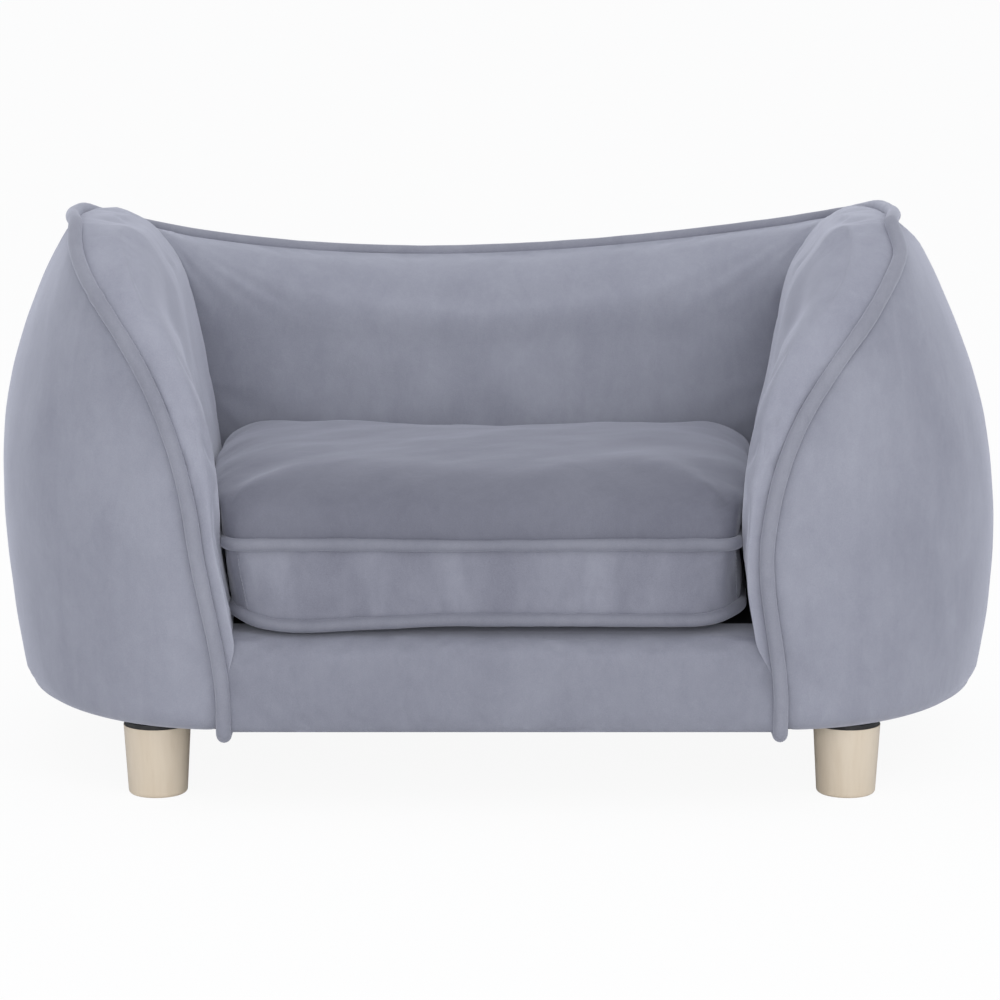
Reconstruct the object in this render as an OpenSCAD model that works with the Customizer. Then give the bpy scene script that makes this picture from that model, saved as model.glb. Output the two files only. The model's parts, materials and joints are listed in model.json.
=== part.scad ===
// A small upholstered sofa bed for a dog or a cat. A barrel-sided body with piped edges
// stands on four screw-in wooden legs and holds a loose, piped seat cushion.
// X runs across the sofa, Y from its front to its back and Z up.
// The origin is on the floor, under the middle of the body.

/* [Body] */
// Width of the body where it is widest
body_w = 684; // [640:1:740]
// Depth of the body from front to back
body_d = 410; // [390:1:460]
// Height of the arms' front corners above the floor
arm_h = 372.5; // [350:0.5:396]
// Height of the middle of the back above the floor
back_h = 326; // [300:1:345]
// Height of the body's underside above the floor
rim_h = 51; // [45:1:60]
// Height at which the body is widest
bulge_h = 168; // [150:1:185]
// How far the sides draw in from the bulge to the arm tops
top_draw = 62.6; // [54:0.2:70]
// How far the sides draw in from the bulge to the underside
rim_draw = 12.6; // [6:0.1:18]
// How far the flat back's ends stand in from the body's sides
back_turn_w = 117; // [107:1:127]
// Drop of the arm top where it rolls over to the front
corner_drop = 2; // [1:0.5:6]
// Fall of the arm tops from their front corners towards the back
arm_fall = 8; // [4:0.5:16]

/* [Seat] */
// Height of the seat deck above the floor
deck_h = 112; // [106:1:125]
// Width of an arm at the front of the deck, out to the body's widest place
arm_low_front_w = 174; // [171:1:179]
// Width of an arm at the back of the deck
arm_low_rear_w = 152; // [147:1:157]
// Width of an arm at the height of its top, by the back pad
arm_high_w = 113; // [110:1:122]
// Thickness of the back at the deck
back_low_d = 69; // [64:1:78]
// Lean of the back pad from the deck to its top
back_lean = 6; // [0:0.5:7]
// Width of the arm's roll at the arm top
arm_top_w = 48; // [40:1:52]
// Width of the arm's roll low down at the front
arm_front_w = 14; // [12:0.5:18]
// How far the front pipings stand out from the foot of the arms' seat sides
front_lap = 11; // [7:0.5:14]
// Radius of the front panel's rolled top edge
front_roll_r = 12; // [8:0.5:16]

/* [Upholstery] */
// Thickness of the velvet and its backing
cover_t = 1.6; // [1:0.1:2.2]
// Thickness of the foam under the outside velvet
padding_t = 8; // [5:0.5:9]
// Thickness of the bent hardboard that shapes the outside
shell_board_t = 3; // [2:0.5:4]
// Thickness of the foam over the arm board's edges
edge_pad_t = 25; // [23:0.5:27]
// Height that the pads crown above their edges
pad_crown = 3; // [1:0.5:5]
// Clearance between neighbouring layers
layer_gap = 0.3; // [0.2:0.05:0.5]
// How far the slack pads and the cushion have settled to the left
slack = 6; // [0:0.5:7]
// Radius over which the outside rolls under at the rim
rim_roll_r = 6; // [3:0.5:7]
// Diameter of the piping on the body
body_pipe_d = 9; // [7:0.5:10]

/* [Cushion] */
// Clearance of the cushion's piping to the arms at the front of the seat
cushion_front_room = 3; // [2.5:0.5:8]
// Clearance of the cushion's piping to the arms at the back of the seat
cushion_rear_room = 6; // [4:0.5:12]
// Set-back of the cushion's front from the front panel
cushion_set = 10; // [4:1:16]
// Clearance of the cushion's piping to the back pad
cushion_back_room = 7; // [6:1:16]
// Height of the bottom piping above the deck, where the filling bulges under it
cushion_lift = 4; // [0:0.5:6]
// Height of the cushion's sides, piping to piping
cushion_side_h = 51; // [40:1:60]
// Height of the crown above the top piping
cushion_crown = 46; // [20:1:50]
// How far the filling swells out over the piping at the sides
cushion_side_swell = 14; // [0:0.5:15]
// How far the filling swells out over the piping at the front and the back
cushion_end_swell = 3; // [0:0.5:4]
// Radius of the cushion's corners
cushion_corner_r = 30; // [20:1:45]
// Diameter of the piping on the cushion
cushion_pipe_d = 8; // [6:0.5:9]
// Distance of the zip's ends from the sides of the cushion's back
zip_end_room = 39; // [37:1:60]

/* [Frame] */
// Thickness of the plywood base
base_t = 15; // [12:1:18]
// Thickness of the rails, arm ribs and back posts
rail_t = 15; // [12:1:16]
// Thickness of the arm boards
arm_board_t = 9; // [6:1:10]
// Thickness of the arm pads at the back of the deck
arm_pad_t = 10; // [9:1:12]
// Thickness of the arm pads at the height of the arms
arm_pad_top_t = 16; // [14:1:19]
// Thickness of the seat board
seat_board_t = 5; // [4:0.5:6]
// Thickness of the arm ribs
rib_t = 9; // [6:1:12]

/* [Legs] */
// Thickness of the washer over a leg
washer_t = 3; // [2:0.5:4]
// Diameter of a leg at its top
leg_top_d = 44; // [36:0.5:48]
// Diameter of a leg at its foot
leg_foot_d = 38.8; // [30:0.2:44]
// Distance of a leg's axis from the body's side
leg_side_set = 115.5; // [112:0.5:137]
// Distance of a leg's axis from the body's front or back
leg_end_set = 47; // [45:1:65]
// Nominal diameter of the hanger bolts
bolt_d = 8; // [6:1:10]

/* [Hidden] */

velvet = [0.56, 0.57, 0.63];
piping_velvet = [0.60, 0.61, 0.66];
foam = [0.93, 0.88, 0.72];
ply = [0.80, 0.66, 0.46];
hardboard = [0.55, 0.40, 0.26];
nonwoven = [0.08, 0.08, 0.09];
steel = [0.70, 0.71, 0.73];
beech = [0.82, 0.75, 0.66];

half_w = body_w / 2;
half_d = body_d / 2;
seat_front_w = body_w - 2 * arm_low_front_w;
seat_rear_w = body_w - 2 * arm_low_rear_w;
seat_top_w = body_w - 2 * arm_high_w;
front_half = seat_front_w / 2 + front_lap;
back_half = half_w - back_turn_w;
arm_board_x = seat_rear_w / 2 + arm_pad_t;
arm_board_top_x = seat_top_w / 2 + arm_pad_top_t;
leg_x = half_w - leg_side_set;
leg_y = half_d - leg_end_set;
front_rx = half_w - front_half;
rear_rx = half_w - back_half;
body_pipe_r = body_pipe_d / 2;
// Share of the side's draw that the front and the back of the shell take
front_draw_share = 0.3;
back_draw_share = 0.35;
// Shares of the way round the shell, 0 at the front edge, 1 at the side, 2 at the flat back
// and 3 at the middle of the back
arm_corner_share = 0.6;
corner_span_share = 0.1;
inner_seam_share = 1.7;
outer_seam_share = 1.85;
// Power that bends the front edge backwards as it climbs
sweep_power = 4.1;
// Depth of the outside layers, from the velvet's face to the back of the hardboard
foam_depth = cover_t + layer_gap;
board_depth = foam_depth + padding_t + layer_gap;
inner_depth = board_depth + shell_board_t + layer_gap;
// Set-back of the front panel from the body's full depth
front_set = 2;
front_y = front_set - half_d;
seat_d = body_d - front_set - back_low_d;
front_foam_t = 12;
// One overrun serves all cuts
cut = 1;

function unit(v) = v / norm(v);
function mix(a, b, t) = a + (b - a) * t;
function ease(t) = let (k = min(1, max(0, t))) k * k * (3 - 2 * k);
function bend(a, b, c, t) = mix(mix(a, b, t), mix(b, c, t), t);
function flip_x(p) = [-p.x, p.y, p.z];
function steps(n) = [for (i = [0 : n]) i / n];

// The shell's plan is a flat front, two quarter ellipses a side and a flat back.
function plan(s) =
    s <= 1 ? [front_half + front_rx * sin(90 * s), -half_d * cos(90 * s)]
    : s <= 2 ? [back_half + rear_rx * sin(90 * s), -half_d * cos(90 * s)]
    : [back_half * (3 - s), half_d];
function plan_out(s) =
    s <= 1 ? unit([half_d * sin(90 * s), -front_rx * cos(90 * s)])
    : s <= 2 ? unit([half_d * sin(90 * s), -rear_rx * cos(90 * s)])
    : [0, 1];
// Length of the plan per unit of share
function plan_rate(s) = norm([(s <= 1 ? front_rx : rear_rx) * cos(90 * s), half_d * sin(90 * s)]) * PI / 2;
// The barrel draws in as the square of the height from its widest place.
function draw(z) =
    z > bulge_h ? top_draw * pow((z - bulge_h) / (arm_h - bulge_h), 2)
    : rim_draw * pow((bulge_h - z) / (bulge_h - rim_h), 2);
function draw_share(s) =
    let (least = s <= 1 ? front_draw_share : back_draw_share)
    s <= 2 ? mix(least, 1, pow(sin(90 * s), 2)) : least;
function shell(s, z, depth = 0) =
    let (q = plan(s) - plan_out(s) * (draw(z) * draw_share(s) + depth)) [q.x, q.y, z];
// The velvet and the foam roll under at the rim; the hardboard runs straight down.
rim_roll_share = 2.3;
rim_roll_h = rim_roll_r * rim_roll_share;
function rim_roll(z) =
    let (q = 1 - min(1, (z - rim_h) / rim_roll_h)) rim_roll_r * (1 - sqrt(1 - q * q));

// Height of the shell's top edge, which sags along the back and rolls over at the arm's corner
function arm_top(y) = arm_h - arm_fall * pow((y + half_d) / body_d, 2);
function roll_over(s) = corner_drop * pow(1 - min(1, max(0, (s - arm_corner_share) / corner_span_share)), 2);
function edge_top(s) =
    s <= 1 ? arm_top(plan(s).y) - roll_over(s)
    : mix(back_h, arm_top(plan(s).y), pow(plan(s).x / half_w, 2));
corner_h = edge_top(arm_corner_share);
function edge_share(t) = arm_corner_share * pow(t, sweep_power);
// The piped edge: u from 0 to 1 climbs the arm's front, to 2 runs back to the inner seam,
// and to 3 along the back to the middle
function edge(u) =
    u <= 1 ? shell(edge_share(u), mix(rim_h, corner_h, u))
    : let (s = u <= 2 ? mix(arm_corner_share, inner_seam_share, u - 1)
               : mix(inner_seam_share, 3, u - 2))
      shell(s, edge_top(s));

// Grids are lists of rows of points.
function strip_faces(a, b, c, d) = [[a, b, c], [a, c, d]];
function grid_faces(rows, cols, base, flip) =
    [for (i = [0 : rows - 2], j = [0 : cols - 2], k = [0, 1])
        let (p = base + i * cols + j,
             f = strip_faces(p, p + 1, p + 1 + cols, p + cols)[k])
        flip ? [f[2], f[1], f[0]] : f];
// A thin or thick closed slab between two grids of the same shape, the outer one seen from outside
module slab(outer, inner) {
    rows = len(outer);
    cols = len(outer[0]);
    n = rows * cols;
    points = [for (g = [outer, inner], r = g, p = r) p];
    around = concat(
        [for (j = [0 : cols - 1]) j],
        [for (i = [1 : rows - 1]) i * cols + cols - 1],
        [for (j = [cols - 2 : -1 : 0]) (rows - 1) * cols + j],
        [for (i = [rows - 2 : -1 : 1]) i * cols]);
    m = len(around);
    // The first row's quads split like the last row's, so that slabs that meet end to end stay parallel.
    rim = [for (k = [0 : m - 1], h = [0, 1])
        let (a = around[k], b = around[(k + 1) % m])
        (k < cols - 1 ? strip_faces(a, a + n, b + n, b) : strip_faces(b, a, a + n, b + n))[h]];
    polyhedron(points, concat(grid_faces(rows, cols, 0, false), grid_faces(rows, cols, n, true), rim));
}

// A tube of a few sides along a path, with a reference direction for each ring
function ring_at(path, refs, k, r, sides, closed) =
    let (n = len(path),
         before = closed ? path[(k + n - 1) % n] : path[max(0, k - 1)],
         after = closed ? path[(k + 1) % n] : path[min(n - 1, k + 1)],
         along = unit(after - before),
         side = unit(refs[k] - along * (refs[k] * along)),
         up = cross(along, side))
    [for (i = [0 : sides - 1]) path[k] + r * (side * cos(360 * i / sides) + up * sin(360 * i / sides))];
module tube(path, refs, r, sides, closed = false) {
    n = len(path);
    points = [for (k = [0 : n - 1], p = ring_at(path, refs, k, r, sides, closed)) p];
    spans = closed ? n : n - 1;
    wall = [for (k = [0 : spans - 1], i = [0 : sides - 1], h = [0, 1])
        let (a = k * sides, b = ((k + 1) % n) * sides, j = (i + 1) % sides)
        strip_faces(a + i, b + i, b + j, a + j)[h]];
    last = (n - 1) * sides;
    caps = closed ? [] : [[for (i = [0 : sides - 1]) i], [for (i = [sides - 1 : -1 : 0]) last + i]];
    polyhedron(points, concat(wall, caps));
}

module mirrored(left) {
    if (left) mirror([1, 0, 0]) children();
    else children();
}

// Outside layers

shell_rows = 8;
shell_cols = 14;
// A layer ends short of the piping by the piping's radius, and deeper layers end lower still.
function edge_room(depth) = body_pipe_r + layer_gap + depth;
// The velvet, the foam and the hardboard share each other's ends as grid lines, so their facets
// stay parallel.
layer_rooms = [edge_room(cover_t), edge_room(foam_depth + padding_t), edge_room(board_depth + shell_board_t)];
layer_depths = [0, foam_depth, board_depth];
layer_backs = [cover_t, foam_depth + padding_t, board_depth + shell_board_t];
deepest = len(layer_rooms) - 1;
climb = corner_h - rim_h;
function start_share(t, room) =
    let (s = edge_share(t),
         slope = arm_corner_share * sweep_power * pow(t, sweep_power - 1) * plan_rate(s) / climb)
    s + room * sqrt(1 + slope * slope) / plan_rate(s);
// Each row is the room it leaves under the edge and its share of the height below that.
// The first rows stand close together, where the outside rolls under.
rim_rows_share = 0.045;
rim_shares = [0, 0.1, 0.4];
function layer_rows(layer) = concat([for (v = rim_shares) [layer_rooms[deepest], v * rim_rows_share]],
    [for (v = steps(shell_rows - 2)) [layer_rooms[deepest], mix(rim_rows_share, 1, v)]],
    [for (k = [deepest - 1 : -1 : layer]) [layer_rooms[k], 1]]);
function row_point(s, row, depth) =
    let (z = mix(rim_h, edge_top(s) - row[0], row[1]), roll = depth > foam_depth ? 0 : rim_roll(z))
    shell(s, z, depth + roll);
function side_grid(layer, depth) =
    let (last = outer_seam_share - layer_gap / plan_rate(outer_seam_share))
    [for (row = layer_rows(layer))
        let (t = row[1] * (1 - row[0] / climb), first = start_share(t, layer_rooms[deepest]))
        concat([for (k = [layer : deepest - 1]) row_point(start_share(t, layer_rooms[k]), row, depth)],
            [for (c = steps(shell_cols - 1)) row_point(mix(first, last, c), row, depth)])];
// The back's grid lines crowd where it turns into the side.
back_shares = [for (c = steps(2)) mix(outer_seam_share, 2, c), for (c = [0.25 : 0.25 : 1]) mix(2, 3, c)];
function back_grid(layer, depth) =
    [for (row = layer_rows(layer))
        let (half = [for (s = back_shares) row_point(s, row, depth)])
        concat(half, [for (i = [len(half) - 2 : -1 : 0]) flip_x(half[i])])];
module side_layer(layer) slab(side_grid(layer, layer_depths[layer]), side_grid(layer, layer_backs[layer]));
module back_layer(layer) slab(back_grid(layer, layer_depths[layer]), back_grid(layer, layer_backs[layer]));
module outer_cover(left) color(velvet) mirrored(left) side_layer(0);
module outer_foam(left) color(foam) mirrored(left) side_layer(1);
module shell_board(left) color(hardboard) mirrored(left) side_layer(2);
module outer_cover_back() color(velvet) back_layer(0);
module outer_foam_back() color(foam) back_layer(1);
module shell_board_back() color(hardboard) back_layer(2);

// Arm pads: each section runs from the piping over the roll and down the inside of the arm

face_rows = 9;
arm_stations = 24;
roll_share = 0.3;
side_crown = 2;
foot_set = 9;
seat_rear_y = front_y + seat_d;
back_top_y = seat_rear_y + back_lean;
deck_share = (deck_h - rim_h) / (corner_h - rim_h);
corner_y = edge(1).y;
// The pads have settled to one side: fully above the cushion's top seam, not at all at the piping.
slack_low = rim_h + 9;
slack_rise = 110;
function settle(z) = slack * ease((z - slack_low) / slack_rise);
function settled(p) = p - [settle(p.z), 0, 0];
function settle_share(v) = ease(2 * v - 0.2);
// Plane of the arm board's seat side, leaning out as it rises
function board_x(z) = mix(arm_board_x, arm_board_top_x, (z - deck_h) / (arm_h - deck_h));
back_pad_t = 16;
back_board_y = seat_rear_y + back_pad_t;
// The roll widens over this part of the climb.
widen_first_share = 0.55;
widen_span_share = 0.4;
function roll_w(u) = mix(arm_front_w, arm_top_w, ease((u - widen_first_share) / widen_span_share));
function seat_half(y) = mix(seat_front_w, seat_rear_w, (y - front_y) / seat_d) / 2;
// Direction that the roll faces: forwards low down and upwards along the arm top
near_share = 0.02;
function roll_out(u) =
    let (d = edge(min(2, u + near_share)) - edge(u - near_share), t = unit([d.y, d.z])) [0, -t[1], t[0]];
// The seam ramp turns the arm's sections to the diagonal where they meet the back pad.
function seam_turn(u) = pow(max(0, u - 1), 3);
function arm_across(u) = unit([-1, -seam_turn(u), 0]);
function roll_corner(u) =
    u <= 1 ? edge(u) - [roll_w(u), 0, 0] + roll_out(u) * pad_crown
    : let (first = edge(1).x - roll_w(1),
           along = (edge(u).y - corner_y) / (edge(2).y - corner_y))
      [mix(first, seat_top_w / 2, u - 1), mix(corner_y, back_top_y, along), edge(u).z + pad_crown];
function foot(u) =
    let (y = u <= 1 ? mix(front_y + foot_set, corner_y, pow((u - deck_share) / (1 - deck_share), 2))
             : mix(corner_y, seat_rear_y, u - 1))
    [seat_half(y), y, deck_h + layer_gap];
function section(e, k, f, roll, crown, v) =
    let (m = mix(k, f, roll))
    v <= 0.5 ? bend(e, k, m, 2 * v) : mix(m, f, 2 * v - 1) + crown * sin(360 * v - 180);
function arm_point(u, v, depth, left) =
    let (out = roll_out(u), turn = seam_turn(u), side = [depth, depth * turn, 0],
         e = edge(u) + arm_across(u) * edge_room(depth),
         p = section(e - out * depth, roll_corner(u) + side - out * depth, foot(u) + side,
                     roll_share, [-side_crown * (1 - turn), 0, 0], v))
    p + [(left ? 1 : -1) * min(settle(p.z), roll_w(u) - settle_room) * settle_share(v), 0, 0];
// Width of the roll that its own thickness needs, so that a pad pushed outwards doesn't fold
settle_room = 14;
arm_wrap = 4;
wrap_share = 0.05;
// The foam starts as a narrow end by the piping and reaches the arm board over this part of the climb.
core_end = 1;
open_share = 0.25;
// Nearest the front that a piece at this place can come without meeting the hardboard
board_room = 3;
function clear_y(x, z) =
    shell(asin(min(1, max(0, (x + board_room - front_half) / front_rx))) / 90, z, inner_depth + board_room).y;
function arm_back_point(u, v) =
    let (out = roll_out(u), turn = seam_turn(u), k = roll_corner(u) - out * edge_pad_t,
         x = board_x(k.z) - layer_gap, y = max(k.y, clear_y(x, k.z)) + turn * (back_board_y - back_top_y),
         f = foot(u), low_x = board_x(deck_h) - layer_gap,
         low_y = max(f.y, clear_y(board_x(deck_h), deck_h)) + turn * (back_board_y - seat_rear_y),
         near_x = min(x + arm_wrap, edge(u).x + layer_gap), open = ease((u - deck_share) / open_share))
    section([near_x, y + turn * arm_wrap, k.z], [mix(near_x + core_end, x, open), y, k.z],
            [mix(near_x + core_end, low_x, open), mix(y + core_end, low_y, open), f.z], wrap_share,
            [0, 0, 0], v);
// Both pads step back from the mitred seam by half a layer gap.
mitre = [1, -1, 0] * layer_gap / 2;
function arm_mitre(u) = mitre * ease(2 * u - 3);
// The pads start just above the deck.
start_share_off = 0.006;
function arm_shares() =
    [for (i = [0 : arm_stations - 1])
        let (t = i / (arm_stations - 1)) t < 0.5 ? mix(deck_share + start_share_off, 1, 2 * t) : 2 * t];
function arm_grid(depth, left) =
    [for (u = arm_shares()) [for (v = steps(face_rows - 1)) arm_point(u, v, depth, left) + arm_mitre(u)]];
function arm_back_grid() =
    [for (u = arm_shares()) [for (v = steps(face_rows - 1)) arm_back_point(u, v) + arm_mitre(u)]];
module arm_cover(left) color(velvet) mirrored(left) slab(arm_grid(0, left), arm_grid(cover_t, left));
module arm_foam(left) color(foam) mirrored(left) slab(arm_grid(foam_depth, left), arm_back_grid());

// Back pad: sections run from the top piping over the roll and down to the deck

back_stations = 15;
back_crown = 5;
back_turn_share = 0.5;
function back_turn(s) = ease(1 - (s - inner_seam_share) / back_turn_share);
function back_point(across, v, depth, behind) =
    let (s = mix(3, inner_seam_share, abs(across)), turn = back_turn(s), e = shell(s, edge_top(s)),
         reach = e.x / edge(2).x, side = [depth * turn, depth, 0],
         inward = unit([-turn, -1, 0]),
         k = [seat_top_w / 2 * reach, back_top_y, e.z + pad_crown],
         f = [seat_rear_w / 2 * reach, seat_rear_y, deck_h + layer_gap],
         low = k.z - edge_pad_t,
         in_x = turn * (board_x(low) - layer_gap - seat_top_w / 2),
         in_foot_x = turn * (board_x(deck_h) - layer_gap - seat_rear_w / 2),
         p = behind
             ? section([k.x + in_x + turn * arm_wrap, back_board_y + arm_wrap, low],
                       [k.x + in_x, back_board_y, low],
                       [f.x + in_foot_x, back_board_y, f.z], wrap_share, [0, 0, 0], v)
             : section(e + inward * edge_room(depth) - [0, 0, depth], k + side - [0, 0, depth], f + side,
                       roll_share, [0, -back_crown * (1 - turn), 0], v),
         q = p - mitre * turn)
    [(across < 0 ? -q.x : q.x) - (behind ? 0 : settle(q.z) * settle_share(v)), q.y, q.z];
function back_pad_grid(depth, behind) =
    [for (i = [0 : back_stations - 1])
        [for (v = steps(face_rows - 1)) back_point(1 - 2 * i / (back_stations - 1), v, depth, behind)]];
module back_cover() color(velvet) slab(back_pad_grid(0, false), back_pad_grid(cover_t, false));
module back_foam() color(foam) slab(back_pad_grid(foam_depth, false), back_pad_grid(0, true));

// The piping starts under the body, climbs one arm, follows the back and ends under the other arm

pipe_proud = 1;
pipe_tail = 4;
front_rings = 16;
arm_rings = 11;
back_rings = 8;
pipe_us = concat(steps(front_rings), [for (t = steps(arm_rings)) if (t > 0) 1 + t],
    [for (t = steps(back_rings)) if (t > 0) 2 + t]);
function pipe_share(u) = u <= 1 ? edge_share(u)
    : u <= 2 ? mix(arm_corner_share, inner_seam_share, u - 1) : mix(inner_seam_share, 3, u - 2);
function pipe_out(u) = let (n = plan_out(pipe_share(u))) [n.x, n.y, 0];
function pipe_point(u) = edge(u) + pipe_out(u) * pipe_proud;
module body_piping() {
    half = concat([pipe_point(0) - [0, 0, pipe_tail]], [for (u = pipe_us) pipe_point(u)]);
    half_refs = concat([pipe_out(0)], [for (u = pipe_us) pipe_out(u)]);
    n = len(half);
    path = concat(half, [for (i = [n - 2 : -1 : 0]) flip_x(half[i])]);
    refs = concat(half_refs, [for (i = [n - 2 : -1 : 0]) flip_x(half_refs[i])]);
    color(piping_velvet) tube(path, refs, body_pipe_r, 8);
}

// Front panel and deck

front_panel_w = 2 * front_half - body_pipe_d - 2 * layer_gap;
front_lip_d = 50;
deck_foam_t = 4;
front_lip_y = front_y + front_lip_d;
seat_board_top = deck_h - cover_t - layer_gap - deck_foam_t - layer_gap;
rail_top = seat_board_top - seat_board_t;
base_top = rim_h + base_t;
rail_front_y = front_y + foam_depth + front_foam_t + layer_gap;
// Outline of the rolled front edge at a depth under the velvet, from the rim to the lip's end
function front_outline(depth) =
    concat([[front_y + depth, rim_h]],
        [for (a = [180 : -15 : 90])
            [front_y + front_roll_r, deck_h - front_roll_r] + (front_roll_r - depth) * [cos(a), sin(a)]],
        [[front_lip_y, deck_h - depth]]);
function backwards(list) = [for (i = [len(list) - 1 : -1 : 0]) list[i]];
module across_x(width) rotate([90, 0, 90]) translate([0, 0, -width / 2]) linear_extrude(width) children();
module front_cover() color(velvet)
    across_x(front_panel_w) polygon(concat(front_outline(0), backwards(front_outline(cover_t))));
module front_foam() color(foam)
    across_x(front_panel_w) polygon(concat(front_outline(foam_depth),
        [[front_lip_y, seat_board_top + layer_gap], [rail_front_y - layer_gap, seat_board_top + layer_gap],
         [rail_front_y - layer_gap, rim_h]]));
deck_clear = 0.5;
module deck_sheet(z, t) translate([0, 0, z]) linear_extrude(t) polygon([
    for (p = [[-1, front_lip_y + layer_gap], [1, front_lip_y + layer_gap],
              [1, back_board_y - layer_gap], [-1, back_board_y - layer_gap]])
        [p.x * (board_x(z) - deck_clear), p.y]]);
module deck_cloth() color(nonwoven) deck_sheet(deck_h - cover_t, cover_t);
module deck_foam() color(foam) deck_sheet(seat_board_top + layer_gap, deck_foam_t);

// Wooden frame

// The front rail and the seat board's front corners stop short of the hardboard.
front_end_set = 8;
module across_rail(y, t, low, high, set) translate([0, y, 0]) rotate([90, 0, 0]) translate([0, 0, -t])
    linear_extrude(t) polygon([
        [set - board_x(low), low], [board_x(low) - set, low],
        [board_x(high) - set, high], [set - board_x(high), high]]);
rear_rail_y = back_board_y - rail_t;
module front_rail() color(ply) across_rail(rail_front_y, rail_t, base_top, rail_top, front_end_set);
module rear_rail() color(ply) across_rail(rear_rail_y, rail_t, base_top, rail_top, deck_clear);
bearer_w = 20;
bearer_set = 60;
side_bearer_x = leg_x - bearer_set;
module seat_bearers() color(ply)
    for (x = [-side_bearer_x, 0, side_bearer_x])
        translate([x - bearer_w / 2, rail_front_y + rail_t, base_top])
            cube([bearer_w, rear_rail_y - rail_front_y - rail_t, rail_top - base_top]);
module seat_board() color(ply) translate([0, 0, rail_top]) linear_extrude(seat_board_t) polygon([
    for (p = [[-1, rail_front_y, front_end_set], [1, rail_front_y, front_end_set],
              [1, back_board_y - layer_gap, deck_clear], [-1, back_board_y - layer_gap, deck_clear]])
        [p.x * (board_x(rail_top) - p.z), p.y]]);

// The base's outline has the hardboard's own facets, a gap further in.
function rim_outline(depth) =
    let (side = side_grid(deepest, depth)[0])
    [for (p = concat(side, back_grid(deepest, depth)[0], [for (q = backwards(side)) flip_x(q)])) [p.x, p.y]];
tee_wall = 1.4;
tee_flange_w = 7;
tee_barrel_r = bolt_d / 2 + tee_wall;
tee_flange_r = bolt_d / 2 + tee_flange_w;
tee_flange_t = 1.6;
tee_room = 0.1;
tee_barrel_share = 0.7;
module at_legs() for (x = [-leg_x, leg_x], y = [-leg_y, leg_y]) translate([x, y, 0]) children();
module base_board() color(ply) difference() {
    translate([0, 0, rim_h]) linear_extrude(base_t)
        polygon(rim_outline(inner_depth));
    at_legs() translate([0, 0, rim_h - cut])
        cylinder(r = tee_barrel_r + tee_room, h = base_t + 2 * cut, $fn = 32);
}
nut_running_gap = 0.08;
module tee_nuts() color(steel) at_legs() difference() {
    union() {
        translate([0, 0, base_top]) cylinder(r = tee_flange_r, h = tee_flange_t, $fn = 32);
        translate([0, 0, base_top - base_t * tee_barrel_share])
            cylinder(r = tee_barrel_r, h = base_t * tee_barrel_share, $fn = 32);
    }
    translate([0, 0, rim_h])
        cylinder(r = bolt_d / 2 + nut_running_gap, h = base_t + tee_flange_t + cut, $fn = 32);
}

// The arm board follows the swept edge, set back by the foam that wraps over it.
board_room_high = 8;
board_back_off = edge_pad_t + board_room_high;
board_room_rear = 19;
board_rear_y = back_board_y - board_room_rear;
board_shares = [0.45, 0.55, 0.65, 0.75, 0.85, 0.93, 1, 1.1, 1.25, 1.5, 1.75, 1.95];
function board_outline_point(u) =
    let (p = edge(u) - roll_out(u) * board_back_off) [min(p.y, board_rear_y), p.z];
board_lap = 8;
board_front_y = max(rail_front_y + board_lap, clear_y(arm_board_x + arm_board_t, deck_h));
arm_board_outline = concat(
    [[board_rear_y, base_top], [board_front_y, base_top], [board_front_y, deck_h - layer_gap],
     [max(board_front_y, board_outline_point(board_shares[0]).x), deck_h - layer_gap]],
    [for (u = board_shares) board_outline_point(u)],
    [[board_rear_y, board_outline_point(board_shares[len(board_shares) - 1])[1]]]);
board_run = (arm_board_top_x - arm_board_x) / (arm_h - deck_h);
module arm_board(left) color(ply) mirrored(left)
    multmatrix([[1, 0, board_run, arm_board_x - board_run * deck_h], [0, 1, 0, 0], [0, 0, 1, 0]])
        rotate([90, 0, 90]) linear_extrude(arm_board_t) polygon(arm_board_outline);

// Ribs stand square to the shell and carry its barrel curve.
arm_rail_t = 12;
arm_rail_low = 50;
arm_rail_top = arm_h - arm_rail_low;
rib_shares = [0.45, 0.78, 1.12, 1.45];
rib_steps = 8;
rib_root = 14;
function climb_top(s) = mix(rim_h, corner_h, pow(s / arm_corner_share, 1 / sweep_power)) - board_back_off;
function rib_top(s) = min(arm_rail_top - arm_rail_t, s < arm_corner_share ? climb_top(s) : arm_h);
function rib_reach(s, z) = -draw(z) * draw_share(s) - inner_depth;
module rib(s) {
    top = rib_top(s);
    out = plan_out(s);
    root = rib_reach(s, top) - rib_root;
    translate([plan(s).x, plan(s).y, 0]) rotate([90, 0, atan2(out.y, out.x)])
        translate([0, 0, -rib_t / 2]) linear_extrude(rib_t)
            polygon(concat(
                [for (t = steps(rib_steps)) let (z = mix(base_top, top, t)) [rib_reach(s, z) - rib_shave, z]],
                [[root, top], [root, base_top]]));
}
// The ribs' flat sides meet the curved hardboard at its inner face, less this shave.
rib_shave = 5;
rail_shave = 7;
module arm_ribs(left) color(ply) mirrored(left) for (s = rib_shares) rib(s);
rail_first_share = 0.72;
rail_last_share = 1.6;
rail_steps = 10;
module arm_rail(left) color(ply) mirrored(left) translate([0, 0, arm_rail_top - arm_rail_t])
    linear_extrude(arm_rail_t) polygon(concat(
        [for (t = steps(rail_steps))
            let (p = shell(mix(rail_first_share, rail_last_share, t), arm_rail_top, inner_depth + rail_shave))
            [p.x, p.y]],
        [for (s = [rail_last_share, rail_first_share])
            [board_x(arm_rail_top) + arm_board_t + layer_gap, shell(s, arm_rail_top, inner_depth).y]]));

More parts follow.
